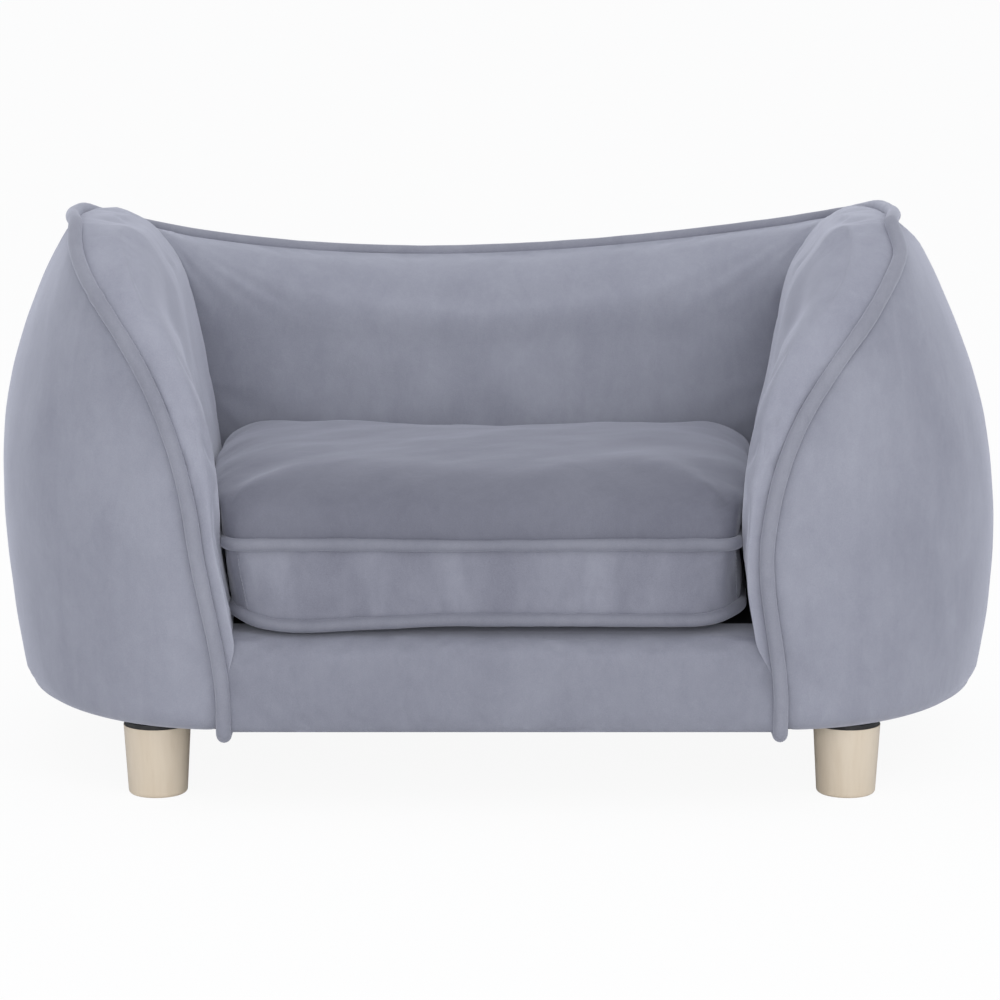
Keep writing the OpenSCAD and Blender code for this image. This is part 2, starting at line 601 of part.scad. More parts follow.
function back_top(x) = mix(back_h, arm_h - arm_fall, pow(x / half_w, 2));
back_board_t = 3;
post_front_y = back_board_y + back_board_t + 2 * layer_gap;
post_set = 70;
post_x = leg_x - post_set;
top_rail_drop = 62;
top_rail_low = back_h - top_rail_drop;
// The back board and the top rail end beside the flanges of the rear T-nuts.
nut_room = 1;
top_rail_half = leg_x - tee_flange_r - nut_room;
module back_board() color(hardboard)
    translate([0, back_board_y + back_board_t + layer_gap, 0]) rotate([90, 0, 0]) linear_extrude(back_board_t)
        polygon(concat([[-top_rail_half, base_top], [top_rail_half, base_top]],
            [for (t = steps(rail_steps)) let (x = mix(top_rail_half, -top_rail_half, t))
                [x, back_top(x) - board_back_off]]));
module back_posts() color(ply) for (side = [-1, 1])
    translate([side * post_x - rail_t / 2, 0, 0]) rotate([90, 0, 90]) linear_extrude(rail_t)
        polygon(concat([[post_front_y, top_rail_low], [post_front_y, base_top]],
            [for (t = steps(rib_steps)) let (z = mix(base_top, top_rail_low, t))
                [shell(2.5, z, inner_depth + rib_shave).y, z]]));
module back_top_rail() color(ply)
    translate([0, post_front_y + rail_t, 0]) rotate([90, 0, 0]) linear_extrude(rail_t)
        polygon(concat([[-top_rail_half, top_rail_low], [top_rail_half, top_rail_low]],
            [for (t = steps(rail_steps)) let (x = mix(top_rail_half, -top_rail_half, t))
                [x, back_top(x) - board_back_off]]));

// Underside

dust_cover_t = 1.5;
dust_inset = 12;
bolt_room = 1;
bolt_hole_r = bolt_d / 2 + bolt_room;
module dust_cover() color(nonwoven) difference() {
    translate([0, 0, rim_h - dust_cover_t]) linear_extrude(dust_cover_t)
        polygon(rim_outline(dust_inset));
    at_legs() translate([0, 0, rim_h - dust_cover_t - cut])
        cylinder(r = bolt_hole_r, h = dust_cover_t + 2 * cut, $fn = 32);
}

// Legs

leg_l = rim_h - dust_cover_t - washer_t;
washer_set = 0.5;
washer_d = leg_top_d - 2 * washer_set;
bolt_up = 20;
bolt_down = 26;
screw_depth = 0.5;
screw_r = bolt_d / 2 - screw_depth;
foot_round = 2.5;
module leg(x, y) color(beech) translate([x, y, 0]) difference() {
    rotate_extrude($fn = 48) polygon(concat([[0, 0]],
        [for (a = [-90 : 22.5 : 0])
            [leg_foot_d / 2 - foot_round, foot_round] + foot_round * [cos(a), sin(a)]],
        [[leg_top_d / 2, leg_l], [0, leg_l]]));
    translate([0, 0, leg_l - bolt_down]) cylinder(r = screw_r, h = bolt_down + cut, $fn = 32);
}
module leg_bolt(x, y) color(steel) translate([x, y, leg_l]) {
    cylinder(r = bolt_d / 2, h = rim_h - leg_l + bolt_up, $fn = 32);
    translate([0, 0, -bolt_down + layer_gap]) cylinder(r = screw_r, h = bolt_down - layer_gap, $fn = 32);
}
module leg_washer(x, y) color(nonwoven) translate([x, y, leg_l]) difference() {
    cylinder(d = washer_d, h = washer_t, $fn = 48);
    translate([0, 0, -cut]) cylinder(r = bolt_d / 2 + nut_running_gap, h = washer_t + 2 * cut, $fn = 32);
}

// Cushion

cushion_pipe_r = cushion_pipe_d / 2;
cushion_front_w = seat_front_w - 2 * cushion_front_room;
cushion_rear_w = seat_rear_w - 2 * cushion_rear_room;
cushion_d = seat_d - cushion_set - cushion_back_room;
zip_l = cushion_rear_w - 2 * zip_end_room;
cushion_front_y = front_y + cushion_set;
cushion_low = deck_h + layer_gap + cushion_lift + cushion_pipe_r;
cushion_high = cushion_low + cushion_side_h;
cushion_half_d = cushion_d / 2 - cushion_pipe_r;
cushion_mid_y = cushion_front_y + cushion_d / 2;
corner_steps = 5;
edge_steps = 7;
// Rounded outline of the piping's centre line, anticlockwise from the middle of the back
function taper(y) = mix(cushion_front_w, cushion_rear_w, (y / cushion_half_d + 1) / 2) / 2 - cushion_pipe_r;
function cushion_corner(cx, cy, a) =
    [for (i = [0 : corner_steps - 1])
        let (b = a + 90 * (i + 0.5) / corner_steps) [cx, cy] + cushion_corner_r * [cos(b), sin(b)]];
function straight(a, b) = [for (i = [0 : edge_steps - 1]) mix(a, b, i / (edge_steps - 1))];
cushion_cx = (cushion_front_w + cushion_rear_w) / 4 - cushion_pipe_r;
cushion_loop = let (x = cushion_cx, r = cushion_corner_r, d = cushion_half_d,
    square_loop = concat(
        straight([x - r, d], [r - x, d]), cushion_corner(r - x, d - r, 90),
        straight([-x, d - r], [-x, r - d]), cushion_corner(r - x, r - d, 180),
        straight([r - x, -d], [x - r, -d]), cushion_corner(x - r, r - d, 270),
        straight([x, r - d], [x, d - r]), cushion_corner(x - r, d - r, 0)))
    [for (p = square_loop) [p.x * taper(p.y) / cushion_cx, p.y]];
loop_n = len(cushion_loop);
// Points of the outline moved in by a distance towards the middle
function loop_in(k, inset) =
    let (a = cushion_loop[(k + loop_n - 1) % loop_n], b = cushion_loop[(k + 1) % loop_n], t = unit(b - a))
    cushion_loop[k] + inset * [-t.y, t.x];
cushion_room = cushion_pipe_r + layer_gap;
function seated(p) = settled([p.x, p.y + cushion_mid_y, p.z]);
function side_share(p) = abs(p.x) / taper(p.y);
function end_share(p) = abs(p.y) / cushion_half_d;
// Rings of the flat bottom panel, given as shares of the way from the rim to the middle
bottom_ring_shares = [0, 0.05, 0.1];
bottom_flat = 14;
bottom_drop = cushion_pipe_r + cushion_lift - layer_gap;
function bottom_ring(share, z) =
    [for (k = [0 : loop_n - 1])
        let (p = loop_in(k, cushion_room) * (1 - share), a = side_share(p), b = end_share(p))
        seated([p.x, p.y, z - bottom_drop * (1 - pow(a, bottom_flat)) * (1 - pow(b, bottom_flat))])];
// Rings of the crowned top: shares of the way in, of the swell, of the height by the middle of a side,
// of the height by a corner, and of the layers' depth that goes down instead of in
top_ring_shares = [
    [0, 0, 0, 0, 0],
    [0.02, 0.65, 0.3, 0.12, 0.1],
    [0.05, 1, 0.62, 0.3, 0.3],
    [0.12, 0.75, 0.85, 0.6, 0.7],
    [0.24, 0.3, 0.95, 0.85, 0.9],
    [0.45, 0, 0.985, 0.97, 1],
    [0.75, 0, 1, 1, 1]];
// The corners are drawn in: 1 along the middle of a side and 0 at a corner
function fullness(p) =
    let (a = side_share(p), b = end_share(p)) 1 - pow(min(a, b) / max(a, b), 4);
function swell(p) =
    fullness(p) * (side_share(p) > end_share(p) ? cushion_side_swell : cushion_end_swell);
function top_ring(row, depth) =
    [for (k = [0 : loop_n - 1])
        let (q = cushion_loop[k], inset = cushion_room + depth * (1 - row[4]) - swell(q) * row[1],
             p = loop_in(k, inset) * (1 - row[0]), up = cushion_crown * mix(row[3], row[2], fullness(q)))
        seated([p.x, p.y, cushion_high + up - depth * row[4]])];
// Walls between rings that lie one inside the other, closed by a fan at each middle
// The lower rings' quads split along their other diagonal, so that layers face to face stay parallel.
module stacked(rings, low_rings, low_mid, high_mid) {
    n = len(rings[0]);
    m = len(rings);
    points = concat([for (r = rings, p = r) p], [low_mid, high_mid]);
    wall = [for (k = [0 : m - 2], i = [0 : n - 1], h = [0, 1])
        let (j = (i + 1) % n, a = k * n + i, b = (k + 1) * n + i, c = (k + 1) * n + j, d = k * n + j)
        (k < low_rings - 1 ? strip_faces(b, c, d, a) : strip_faces(a, b, c, d))[h]];
    low = [for (i = [0 : n - 1]) [m * n, i, (i + 1) % n]];
    high = [for (i = [0 : n - 1]) [m * n + 1, (m - 1) * n + (i + 1) % n, (m - 1) * n + i]];
    polyhedron(points, concat(wall, low, high));
}
module cushion_top_panel() color(velvet) stacked(concat(
        [for (row = backwards(top_ring_shares)) top_ring(row, cover_t)],
        [for (row = top_ring_shares) top_ring(row, 0)]),
    len(top_ring_shares), seated([0, 0, cushion_high + cushion_crown - cover_t]),
    seated([0, 0, cushion_high + cushion_crown]));
module cushion_bottom_panel() color(velvet) stacked(concat(
        [for (s = backwards(bottom_ring_shares)) bottom_ring(s, cushion_low)],
        [for (s = bottom_ring_shares) bottom_ring(s, cushion_low + cover_t)]),
    len(bottom_ring_shares), seated([0, 0, cushion_low - bottom_drop]),
    seated([0, 0, cushion_low + cover_t - bottom_drop]));
module cushion_filling() {
    depth = cover_t + layer_gap;
    color(foam) stacked(concat(
            [for (s = backwards(bottom_ring_shares)) bottom_ring(s, cushion_low + depth)],
            [for (z = [cushion_low, cushion_high])
                let (turn = z < cushion_high ? cushion_room : -cushion_room)
                [for (k = [0 : loop_n - 1])
                    let (p = loop_in(k, cushion_room + depth + band_draw)) seated([p.x, p.y, z + turn])]],
            [for (row = top_ring_shares) top_ring(row, depth)]),
        len(bottom_ring_shares), seated([0, 0, cushion_low + depth - bottom_drop]),
        seated([0, 0, cushion_high + cushion_crown - depth]));
}
// The band bows in a little between the two pipings.
band_draw = 1;
band_row_shares = [0, 0.25, 0.75, 1];
function band_grid(ks, inset) =
    [for (v = band_row_shares) [for (k = ks)
        let (p = loop_in(k, inset + (v == 0 || v == 1 ? 0 : band_draw)))
        seated([p.x, p.y, mix(cushion_low + cushion_room, cushion_high - cushion_room, v)])]];
// The zip band takes the straight of the back; the side band takes the rest of the loop.
module band(ks) slab(band_grid(ks, 0), band_grid(ks, cover_t));
module cushion_side_band() color(velvet) band([for (k = [loop_n : -1 : edge_steps - 1]) k % loop_n]);
module cushion_zip_band() color(velvet) band([for (k = [edge_steps - 1 : -1 : 0]) k]);
module cushion_piping(z) color(piping_velvet)
    tube([for (p = cushion_loop) seated([p.x, p.y, z])], [for (p = cushion_loop) [0, 0, 1]],
        cushion_pipe_r, 6, true);

// Zip: a coil chain on the middle of the zip band, and its slider at one end

chain_h = 5;
chain_t = 1.6;
zip_z = (cushion_low + cushion_high) / 2;
zip_y = cushion_mid_y + cushion_half_d - band_draw;
zip_x = -settle(zip_z) - zip_l / 2;
slider_l = 11;
slider_h = 9;
slider_t = 1.2;
slider_gap = 0.2;
module zip_chain() color(steel)
    translate([zip_x, zip_y, zip_z]) rotate([0, 90, 0]) linear_extrude(zip_l)
        polygon([[-chain_h / 2, 0], [chain_h / 2, 0], [chain_h / 4, chain_t], [-chain_h / 4, chain_t]]);
module zip_slider() color(steel)
    translate([zip_x + slider_l, zip_y + chain_t + slider_gap, zip_z]) {
        rotate([-90, 0, 0]) linear_extrude(slider_t) polygon([
            [-slider_l / 2, -slider_h / 3], [0, -slider_h / 2], [slider_l / 2, -slider_h / 2],
            [slider_l / 2, slider_h / 2], [0, slider_h / 2], [-slider_l / 2, slider_h / 3]]);
        for (side = [-1, 1]) translate([0, -chain_t / 2, side * (chain_h / 2 + slider_gap + slider_t / 2)])
            cube([slider_l / 2, chain_t, slider_t], center = true);
    }

base_board();
front_rail();
rear_rail();
seat_bearers();
seat_board();
arm_board(true);  // arm_board_left
arm_board(false);  // arm_board_right
arm_ribs(true);  // arm_ribs_left
arm_ribs(false);  // arm_ribs_right
arm_rail(true);  // arm_rail_left
arm_rail(false);  // arm_rail_right
back_posts();
back_top_rail();
back_board();
shell_board(true);  // shell_board_left
shell_board(false);  // shell_board_right
shell_board_back();
outer_foam(true);  // outer_foam_left
outer_foam(false);  // outer_foam_right
outer_foam_back();
outer_cover(true);  // outer_cover_left
outer_cover(false);  // outer_cover_right
outer_cover_back();
front_foam();
front_cover();
deck_foam();
deck_cloth();
arm_foam(true);  // arm_foam_left
arm_foam(false);  // arm_foam_right
back_foam();
arm_cover(true);  // arm_cover_left
arm_cover(false);  // arm_cover_right
back_cover();
body_piping();
dust_cover();
tee_nuts();
cushion_filling();
cushion_top_panel();
cushion_bottom_panel();
cushion_side_band();
cushion_zip_band();
cushion_piping(cushion_high);  // cushion_top_piping
cushion_piping(cushion_low);  // cushion_bottom_piping
zip_chain();
zip_slider();
leg(-leg_x, -leg_y);  // leg_front_left
leg(leg_x, -leg_y);  // leg_front_right
leg(-leg_x, leg_y);  // leg_rear_left
leg(leg_x, leg_y);  // leg_rear_right
leg_bolt(-leg_x, -leg_y);  // leg_bolt_front_left
leg_bolt(leg_x, -leg_y);  // leg_bolt_front_right
leg_bolt(-leg_x, leg_y);  // leg_bolt_rear_left
leg_bolt(leg_x, leg_y);  // leg_bolt_rear_right
leg_washer(-leg_x, -leg_y);  // leg_washer_front_left
leg_washer(leg_x, -leg_y);  // leg_washer_front_right
leg_washer(-leg_x, leg_y);  // leg_washer_rear_left
leg_washer(leg_x, leg_y);  // leg_washer_rear_right
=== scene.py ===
"""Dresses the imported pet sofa: velvet, foam, piping, cushion, wood and metal, then studio and camera.

Shapes are worked out in millimetres as numpy arrays and stored in metres.
"""

from __future__ import annotations

import json
import logging
from dataclasses import dataclass, field
from enum import Enum
from typing import Protocol, Sequence

import bpy
import numpy as np
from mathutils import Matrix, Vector

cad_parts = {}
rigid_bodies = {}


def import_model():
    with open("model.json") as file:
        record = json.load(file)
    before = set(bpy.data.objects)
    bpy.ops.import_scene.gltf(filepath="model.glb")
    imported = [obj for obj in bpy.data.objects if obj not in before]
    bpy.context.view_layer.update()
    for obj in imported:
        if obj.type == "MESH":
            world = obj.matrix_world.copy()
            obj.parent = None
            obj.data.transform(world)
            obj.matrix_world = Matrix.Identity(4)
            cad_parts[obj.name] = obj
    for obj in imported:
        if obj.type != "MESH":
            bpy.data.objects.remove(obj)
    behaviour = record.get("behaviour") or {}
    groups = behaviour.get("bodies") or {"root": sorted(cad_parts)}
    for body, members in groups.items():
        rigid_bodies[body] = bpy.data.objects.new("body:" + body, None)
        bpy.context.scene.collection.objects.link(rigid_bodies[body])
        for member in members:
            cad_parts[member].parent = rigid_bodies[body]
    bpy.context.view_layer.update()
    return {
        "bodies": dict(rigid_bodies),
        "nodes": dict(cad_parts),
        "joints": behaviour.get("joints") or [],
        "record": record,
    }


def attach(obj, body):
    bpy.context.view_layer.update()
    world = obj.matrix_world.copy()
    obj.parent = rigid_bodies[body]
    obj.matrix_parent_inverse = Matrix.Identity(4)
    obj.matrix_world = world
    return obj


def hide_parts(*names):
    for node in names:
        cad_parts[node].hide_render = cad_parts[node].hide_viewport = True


Array = np.ndarray
Colour = tuple[float, float, float]
Material = bpy.types.Material
log = logging.getLogger("pet_sofa")

MM = 0.001
MIRROR = np.array([-1.0, 1.0, 1.0])
LEG_PLACES = ("front_left", "front_right", "rear_left", "rear_right")


class Body(str, Enum):
    """The rigid bodies that pieces ride on."""

    SOFA = "sofa"
    CUSHION = "cushion"


class Side(Enum):
    """The sofa's two sides, as the sign of X."""

    LEFT = -1
    RIGHT = 1

    @property
    def word(self) -> str:
        """The side's name in piece and node names."""
        return self.name.lower()


def mix(a: Array | float, b: Array | float, t: Array | float) -> Array:
    """Straight blend a + (b - a) t."""
    return a + (b - a) * t


def ease(t: Array) -> Array:
    """Smooth step 3 k^2 - 2 k^3 of t held between 0 and 1."""
    k = np.clip(t, 0.0, 1.0)
    return k * k * (3 - 2 * k)


def unit(v: Array) -> Array:
    """Vectors scaled to length 1 along the last axis."""
    return v / np.maximum(np.linalg.norm(v, axis=-1, keepdims=True), 1e-9)


def ramp(v: Array, start_span: tuple[float, float]) -> Array:
    """Smooth step of v from a start over a span."""
    start, span = start_span
    return ease((v - start) / span)


def run_length(path: Array) -> Array:
    """Lengths along a path of points, from 0 at its first."""
    return np.concatenate([[0], np.cumsum(np.linalg.norm(np.diff(path, axis=0), axis=-1))])


def copies(quads: Array, size: int, count: int) -> Array:
    """Quads repeated for each of a count of equal shapes of a size in points."""
    return (quads[None] + size * np.arange(count)[:, None, None]).reshape(-1, 4)


def grid_normals(points: Array) -> Array:
    """Unit normals of a grid: the cross product of its row and column differences.

    Args:
        points: rows by columns by 3.

    Returns:
        Normals of the same shape, outward where rows run up and columns run anticlockwise from above.
    """
    down = np.gradient(points, axis=0)
    across = np.gradient(points, axis=1)
    return unit(np.cross(across, down))


@dataclass(frozen=True)
class Ripple:
    """Soft noise: a sum of plane waves with seeded directions, lengths and phases."""

    seed: int
    wavelength: float
    waves: int = 18

    def __call__(self, points: Array) -> Array:
        """Noise of about -1 to 1 at each point, sum of sin(k . p + phase) over the waves."""
        rng = np.random.default_rng(self.seed)
        turn = unit(rng.normal(size=(self.waves, 3)))
        k = turn * (2 * np.pi / (self.wavelength * rng.uniform(0.6, 1.7, (self.waves, 1))))
        phase = rng.uniform(0, 2 * np.pi, self.waves)
        return np.sin(points @ k.T + phase).sum(-1) / np.sqrt(self.waves)


@dataclass(frozen=True)
class Lean:
    """The slack of the photographed upholstery, which leans to the left as it rises.

    Inside the arms and along the piping it leans at once above the deck. The barrel's sides lean slowly
    and less, no more than the foam over their boards gives way, but the right arm's top edge, which has no
    board behind it, is pulled further in. The top of the back rises to the right and falls to the left.
    """

    inner: float = 13.5
    inner_h: tuple[float, float] = (66.0, 114.0)
    outer: float = 8.5
    outer_h: tuple[float, float] = (90.0, 260.0)
    pull: float = 8.0
    pull_h: tuple[float, float] = (350.0, 22.0)
    pull_x: tuple[float, float] = (180.0, 60.0)
    outer_x: tuple[float, float] = (185.0, 60.0)
    back_keep: float = 0.6
    back_y: tuple[float, float] = (20.0, 160.0)
    tilt: float = 12.0
    tilt_h: tuple[float, float] = (200.0, 126.0)
    tilt_y: tuple[float, float] = (0.0, 150.0)
    half_w: float = 342.0

    def __call__(self, points: Array) -> Array:
        """Points moved along -X, and along Z at the top of the back."""
        p = np.array(points, dtype=float)
        x, y, z = p[..., 0], p[..., 1], p[..., 2]
        inside = self.inner * ramp(z, self.inner_h)
        inside = inside * mix(1.0, self.back_keep, ramp(y, self.back_y))
        outside = self.outer * ramp(z, self.outer_h)
        outside = outside + self.pull * ramp(z, self.pull_h) * ramp(x, self.pull_x)
        p[..., 0] -= mix(inside, outside, ramp(np.abs(x), self.outer_x))
        t = np.clip(x / self.half_w, -1, 1)
        p[..., 2] += self.tilt * t * (1 - t * t) * ramp(z, self.tilt_h) * ramp(y, self.tilt_y)
        return p


@dataclass(frozen=True)
class BodyForm:
    """The barrel-sided body, as functions of a share round its plan and of height."""

    half_w: float = 342.0
    half_d: float = 205.0
    arm_h: float = 372.5
    back_h: float = 326.0
    rim_h: float = 51.0
    bulge_h: float = 168.0
    top_draw: float = 62.6
    rim_draw: float = 12.6
    front_half: float = 179.0
    back_half: float = 225.0
    corner_drop: float = 2.0
    arm_fall: float = 8.0
    front_draw_share: float = 0.3
    back_draw_share: float = 0.35
    corner_share: float = 0.6
    corner_span: float = 0.1
    inner_seam: float = 1.7
    outer_seam: float = 1.85
    sweep: float = 4.1
    rim_round: float = 6.0
    rim_round_h: float = 14.0

    def radius(self, s: Array) -> Array:
        """Half width of the quarter ellipse at share s."""
        return self.half_w - np.where(s <= 1, self.front_half, self.back_half)

    def plan(self, s: Array) -> Array:
        """Plan outline: a flat front's end at 0, the side at 1, the flat back from 2 to its middle at 3.

        Args:
            s: shares round the plan.

        Returns:
            x and y, with x = centre + radius sin(90 s) and y = -depth cos(90 s) on the two ellipses.
        """
        a = np.radians(90 * np.minimum(s, 2.0))
        centre = np.where(s <= 1, self.front_half, self.back_half)
        x = np.where(s > 2, self.back_half * (3 - s), centre + self.radius(s) * np.sin(a))
        return np.stack([x, -self.half_d * np.cos(a)], -1)

    def plan_out(self, s: Array) -> Array:
        """Outward unit normal of the plan, the ellipse's gradient direction."""
        a = np.radians(90 * np.minimum(s, 2.0))
        n = np.stack([self.half_d * np.sin(a), -self.radius(s) * np.cos(a)], -1)
        flat = np.stack([np.zeros_like(a), np.ones_like(a)], -1)
        return unit(np.where((s > 2)[..., None], flat, n))

    def plan_rate(self, s: Array) -> Array:
        """Length of the plan per unit of share."""
        a = np.radians(90 * s)
        return np.hypot(self.radius(s) * np.cos(a), self.half_d * np.sin(a)) * np.pi / 2

    def draw(self, z: Array) -> Array:
        """How far the barrel draws in, as the square of the height from its widest place."""
        up = self.top_draw * ((z - self.bulge_h) / (self.arm_h - self.bulge_h)) ** 2
        down = self.rim_draw * ((self.bulge_h - z) / (self.bulge_h - self.rim_h)) ** 2
        return np.where(z > self.bulge_h, up, down)

    def draw_share(self, s: Array) -> Array:
        """Share of the draw at each place: whole at the side, least at the front and the back."""
        least = np.where(s <= 1, self.front_draw_share, self.back_draw_share)
        return np.where(s <= 2, mix(least, 1.0, np.sin(np.radians(90 * s)) ** 2), least)

    def rim_roll(self, z: Array) -> Array:
        """Quarter-ellipse inset where the velvet turns under the rim."""
        q = 1 - np.clip((z - self.rim_h) / self.rim_round_h, 0, 1)
        return self.rim_round * (1 - np.sqrt(1 - q * q))

    def shell(self, s: Array, z: Array, depth: Array | float = 0.0) -> Array:
        """Point of the shell: the plan moved inwards by the draw and by a depth."""
        s, z, depth = np.broadcast_arrays(s, z, np.asarray(depth, float))
        inset = self.draw(z) * self.draw_share(s) + depth
        q = self.plan(s) - self.plan_out(s) * inset[..., None]
        return np.concatenate([q, z[..., None]], -1)

    def arm_top(self, y: Array) -> Array:
        """Height of the arm tops, which falls towards the back as the square of the depth."""
        return self.arm_h - self.arm_fall * ((y + self.half_d) / (2 * self.half_d)) ** 2

    def edge_top(self, s: Array) -> Array:
        """Height of the top edge: the arm top with its rolled corner, then the sag of the back."""
        q = self.plan(s)
        roll = 1 - np.clip((s - self.corner_share) / self.corner_span, 0, 1)
        arm = self.arm_top(q[..., 1]) - self.corner_drop * roll**2
        back = mix(self.back_h, self.arm_top(q[..., 1]), (q[..., 0] / self.half_w) ** 2)
        return np.where(s <= 1, arm, back)

    @property
    def corner_h(self) -> float:
        """Height where the climbing edge turns back along the arm."""
        return float(self.edge_top(np.array(self.corner_share)))

    def edge_share(self, t: Array) -> Array:
        """Share of the climbing edge at a share t of its climb, corner t^sweep."""
        return self.corner_share * np.clip(t, 0, None) ** self.sweep

    def edge_place(self, u: Array) -> Array:
        """Share round the plan: u climbs to 1, runs to the inner seam at 2, to the back's middle at 3."""
        run = mix(self.corner_share, self.inner_seam, u - 1)
        back = mix(self.inner_seam, 3.0, u - 2)
        return np.where(u <= 1, self.edge_share(np.minimum(u, 1)), np.where(u <= 2, run, back))

    def edge(self, u: Array) -> Array:
        """The piped edge in space."""
        s = self.edge_place(u)
        z = np.where(u <= 1, mix(self.rim_h, self.corner_h, u), self.edge_top(s))
        return self.shell(s, z)

    def start_share(self, t: Array, room: float) -> Array:
        """Share where a layer starts, room away from the climbing edge, measured square to it."""
        s = self.edge_share(t)
        climb = self.corner_h - self.rim_h
        rate = self.corner_share * self.sweep * np.clip(t, 0, None) ** (self.sweep - 1)
        slope = rate * self.plan_rate(s) / climb
        return s + room * np.sqrt(1 + slope**2) / self.plan_rate(s)


@dataclass(frozen=True)
class SeatForm:
    """The inside of the sofa: arm rolls, seat sides and the back pad."""

    body: BodyForm = field(default_factory=BodyForm)
    deck_h: float = 112.0
    front_half: float = 168.0
    rear_half: float = 190.0
    top_half: float = 229.0
    front_y: float = -203.0
    depth: float = 339.0
    back_lean: float = 6.0
    arm_top_w: float = 58.0
    arm_front_w: float = 14.0
    pad_crown: float = 3.0
    edge_pad: float = 25.0
    roll_share: float = 0.3
    roll_weight: float = 2.0
    foot_set: float = 9.0
    gap: float = 0.3
    board_x: tuple[float, float] = (200.0, 245.0)
    board_y: float = 152.0
    tip_h: float = 80.0
    tip_w: float = 3.0
    core_end: float = 1.0
    core_open: float = 0.25
    roll_u: tuple[float, float] = (0.4, 0.6)
    foot_out: float = 5.0
    foot_out_span: float = 0.12
    tip_y: float = 2.0
    board_clear: float = 16.5

    @property
    def rear_y(self) -> float:
        """Front of the back pad at the deck."""
        return self.front_y + self.depth

    @property
    def low_u(self) -> float:
        """Share of the climb at deck height."""
        return (self.deck_h - self.body.rim_h) / (self.body.corner_h - self.body.rim_h)

    @property
    def tip_u(self) -> float:
        """Share of the climb where the arm pad's lower end runs out beside the piping."""
        return (self.tip_h - self.body.rim_h) / (self.body.corner_h - self.body.rim_h)

    def tip(self, u: Array) -> Array:
        """0 at the pad's lower end, 1 from the deck upwards."""
        return ease((u - self.tip_u) / (self.low_u - self.tip_u))

    def board(self, z: Array) -> Array:
        """Seat side of the arm board at a height, a straight lean."""
        return mix(*self.board_x, (z - self.deck_h) / (self.body.arm_h - self.deck_h))

    def clear_y(self, x: Array, z: Array) -> Array:
        """Nearest the front that the foam's back can come without meeting the bent hardboard."""
        b = self.body
        share = np.arcsin(np.clip((x + 3 - b.front_half) / b.radius(np.array(0.5)), 0, 1)) / (np.pi / 2)
        return b.shell(share, z, self.board_clear)[..., 1]

    def roll_out(self, u: Array) -> Array:
        """Direction the arm's roll faces: the edge's direction in side view, turned a quarter."""
        d = self.body.edge(np.minimum(2, u + 0.02)) - self.body.edge(u - 0.02)
        t = unit(d[..., 1:])
        return np.stack([np.zeros_like(u), -t[..., 1], t[..., 0]], -1)

    def seam_turn(self, u: Array) -> Array:
        """Turn of the sections to the diagonal at the back seam, the cube of the way there."""
        return np.clip(u - 1, 0, None) ** 3

    def roll_corner(self, u: Array) -> Array:
        """Control point of the roll's inner corner."""
        e = self.body.edge(u)
        width = mix(self.arm_front_w, self.arm_top_w, ramp(u, self.roll_u))
        width = mix(self.tip_w, width, self.tip(u))
        low = e + self.roll_out(u) * self.pad_crown * self.tip(u)[:, None]
        low[..., 0] -= width
        ends = self.body.edge(np.array([1.0, 2.0]))
        along = (e[..., 1] - ends[0, 1]) / (ends[1, 1] - ends[0, 1])
        high = np.stack(
            [
                mix(ends[0, 0] - self.arm_top_w, self.top_half, u - 1),
                mix(ends[0, 1], self.rear_y + self.back_lean, along),
                e[..., 2] + self.pad_crown,
            ],
            -1,
        )
        return np.where((u <= 1)[..., None], low, high)

    def foot(self, u: Array) -> Array:
        """Foot of the arm pad on the deck."""
        corner_y = float(self.body.edge(np.array(1.0))[1])
        climb = np.clip((u - self.low_u) / (1 - self.low_u), 0, 1) ** 2
        front = mix(self.front_y + self.foot_set, corner_y, climb)
        y = np.where(u <= 1, front, mix(corner_y, self.rear_y, u - 1))
        x = mix(self.front_half, self.rear_half, (y - self.front_y) / self.depth)
        x = x + self.foot_out * (1 - ramp(u, (self.low_u, self.foot_out_span)))
        deck = np.stack([x, y, np.full_like(y, self.deck_h + self.gap)], -1)
        e = self.body.edge(u)
        end = np.stack([e[..., 0] - self.tip_w, 0 * u + self.front_y + self.tip_y, e[..., 2]], -1)
        low = mix(end, deck, self.tip(u)[:, None])
        low[..., 2] = np.minimum(e[..., 2], self.deck_h) + self.gap
        return np.where((u < self.low_u)[:, None], low, deck)


def section(
    e: Array, k: Array, f: Array, roll: float, crown: Array, v: Array, weight: Array | float = 1.0
) -> Array:
    """Pad sections: a rational quadratic from e past corner k, then a straight side with a sine crown to f.

    Args:
        e: start points at the piping, n by 3.
        k: corner control points, n by 3.
        f: foot points, n by 3.
        roll: share of the way from k to f where the curve ends.
        crown: crown vectors of the side, n by 3.
        v: places along the section, 0 to 1, the curve taking the first half.
        weight: pull of the corner on each section's curve, 1 for a plain parabola.

    Returns:
        Points, n by len(v) by 3.
    """
    e, k, f, crown = (a[:, None, :] for a in (e, k, f, crown))
    t = np.clip(2 * v, 0, 1)[None, :, None]
    w = np.clip(2 * v - 1, 0, 1)[None, :, None]
    m = mix(k, f, roll)
    pull = 2 * weight * t * (1 - t)
    curve = ((1 - t) ** 2 * e + pull * k + t * t * m) / ((1 - t) ** 2 + pull + t * t)
    side = mix(m, f, w) + crown * np.sin(np.pi * w)
    return np.where((v <= 0.5)[None, :, None], curve, side)


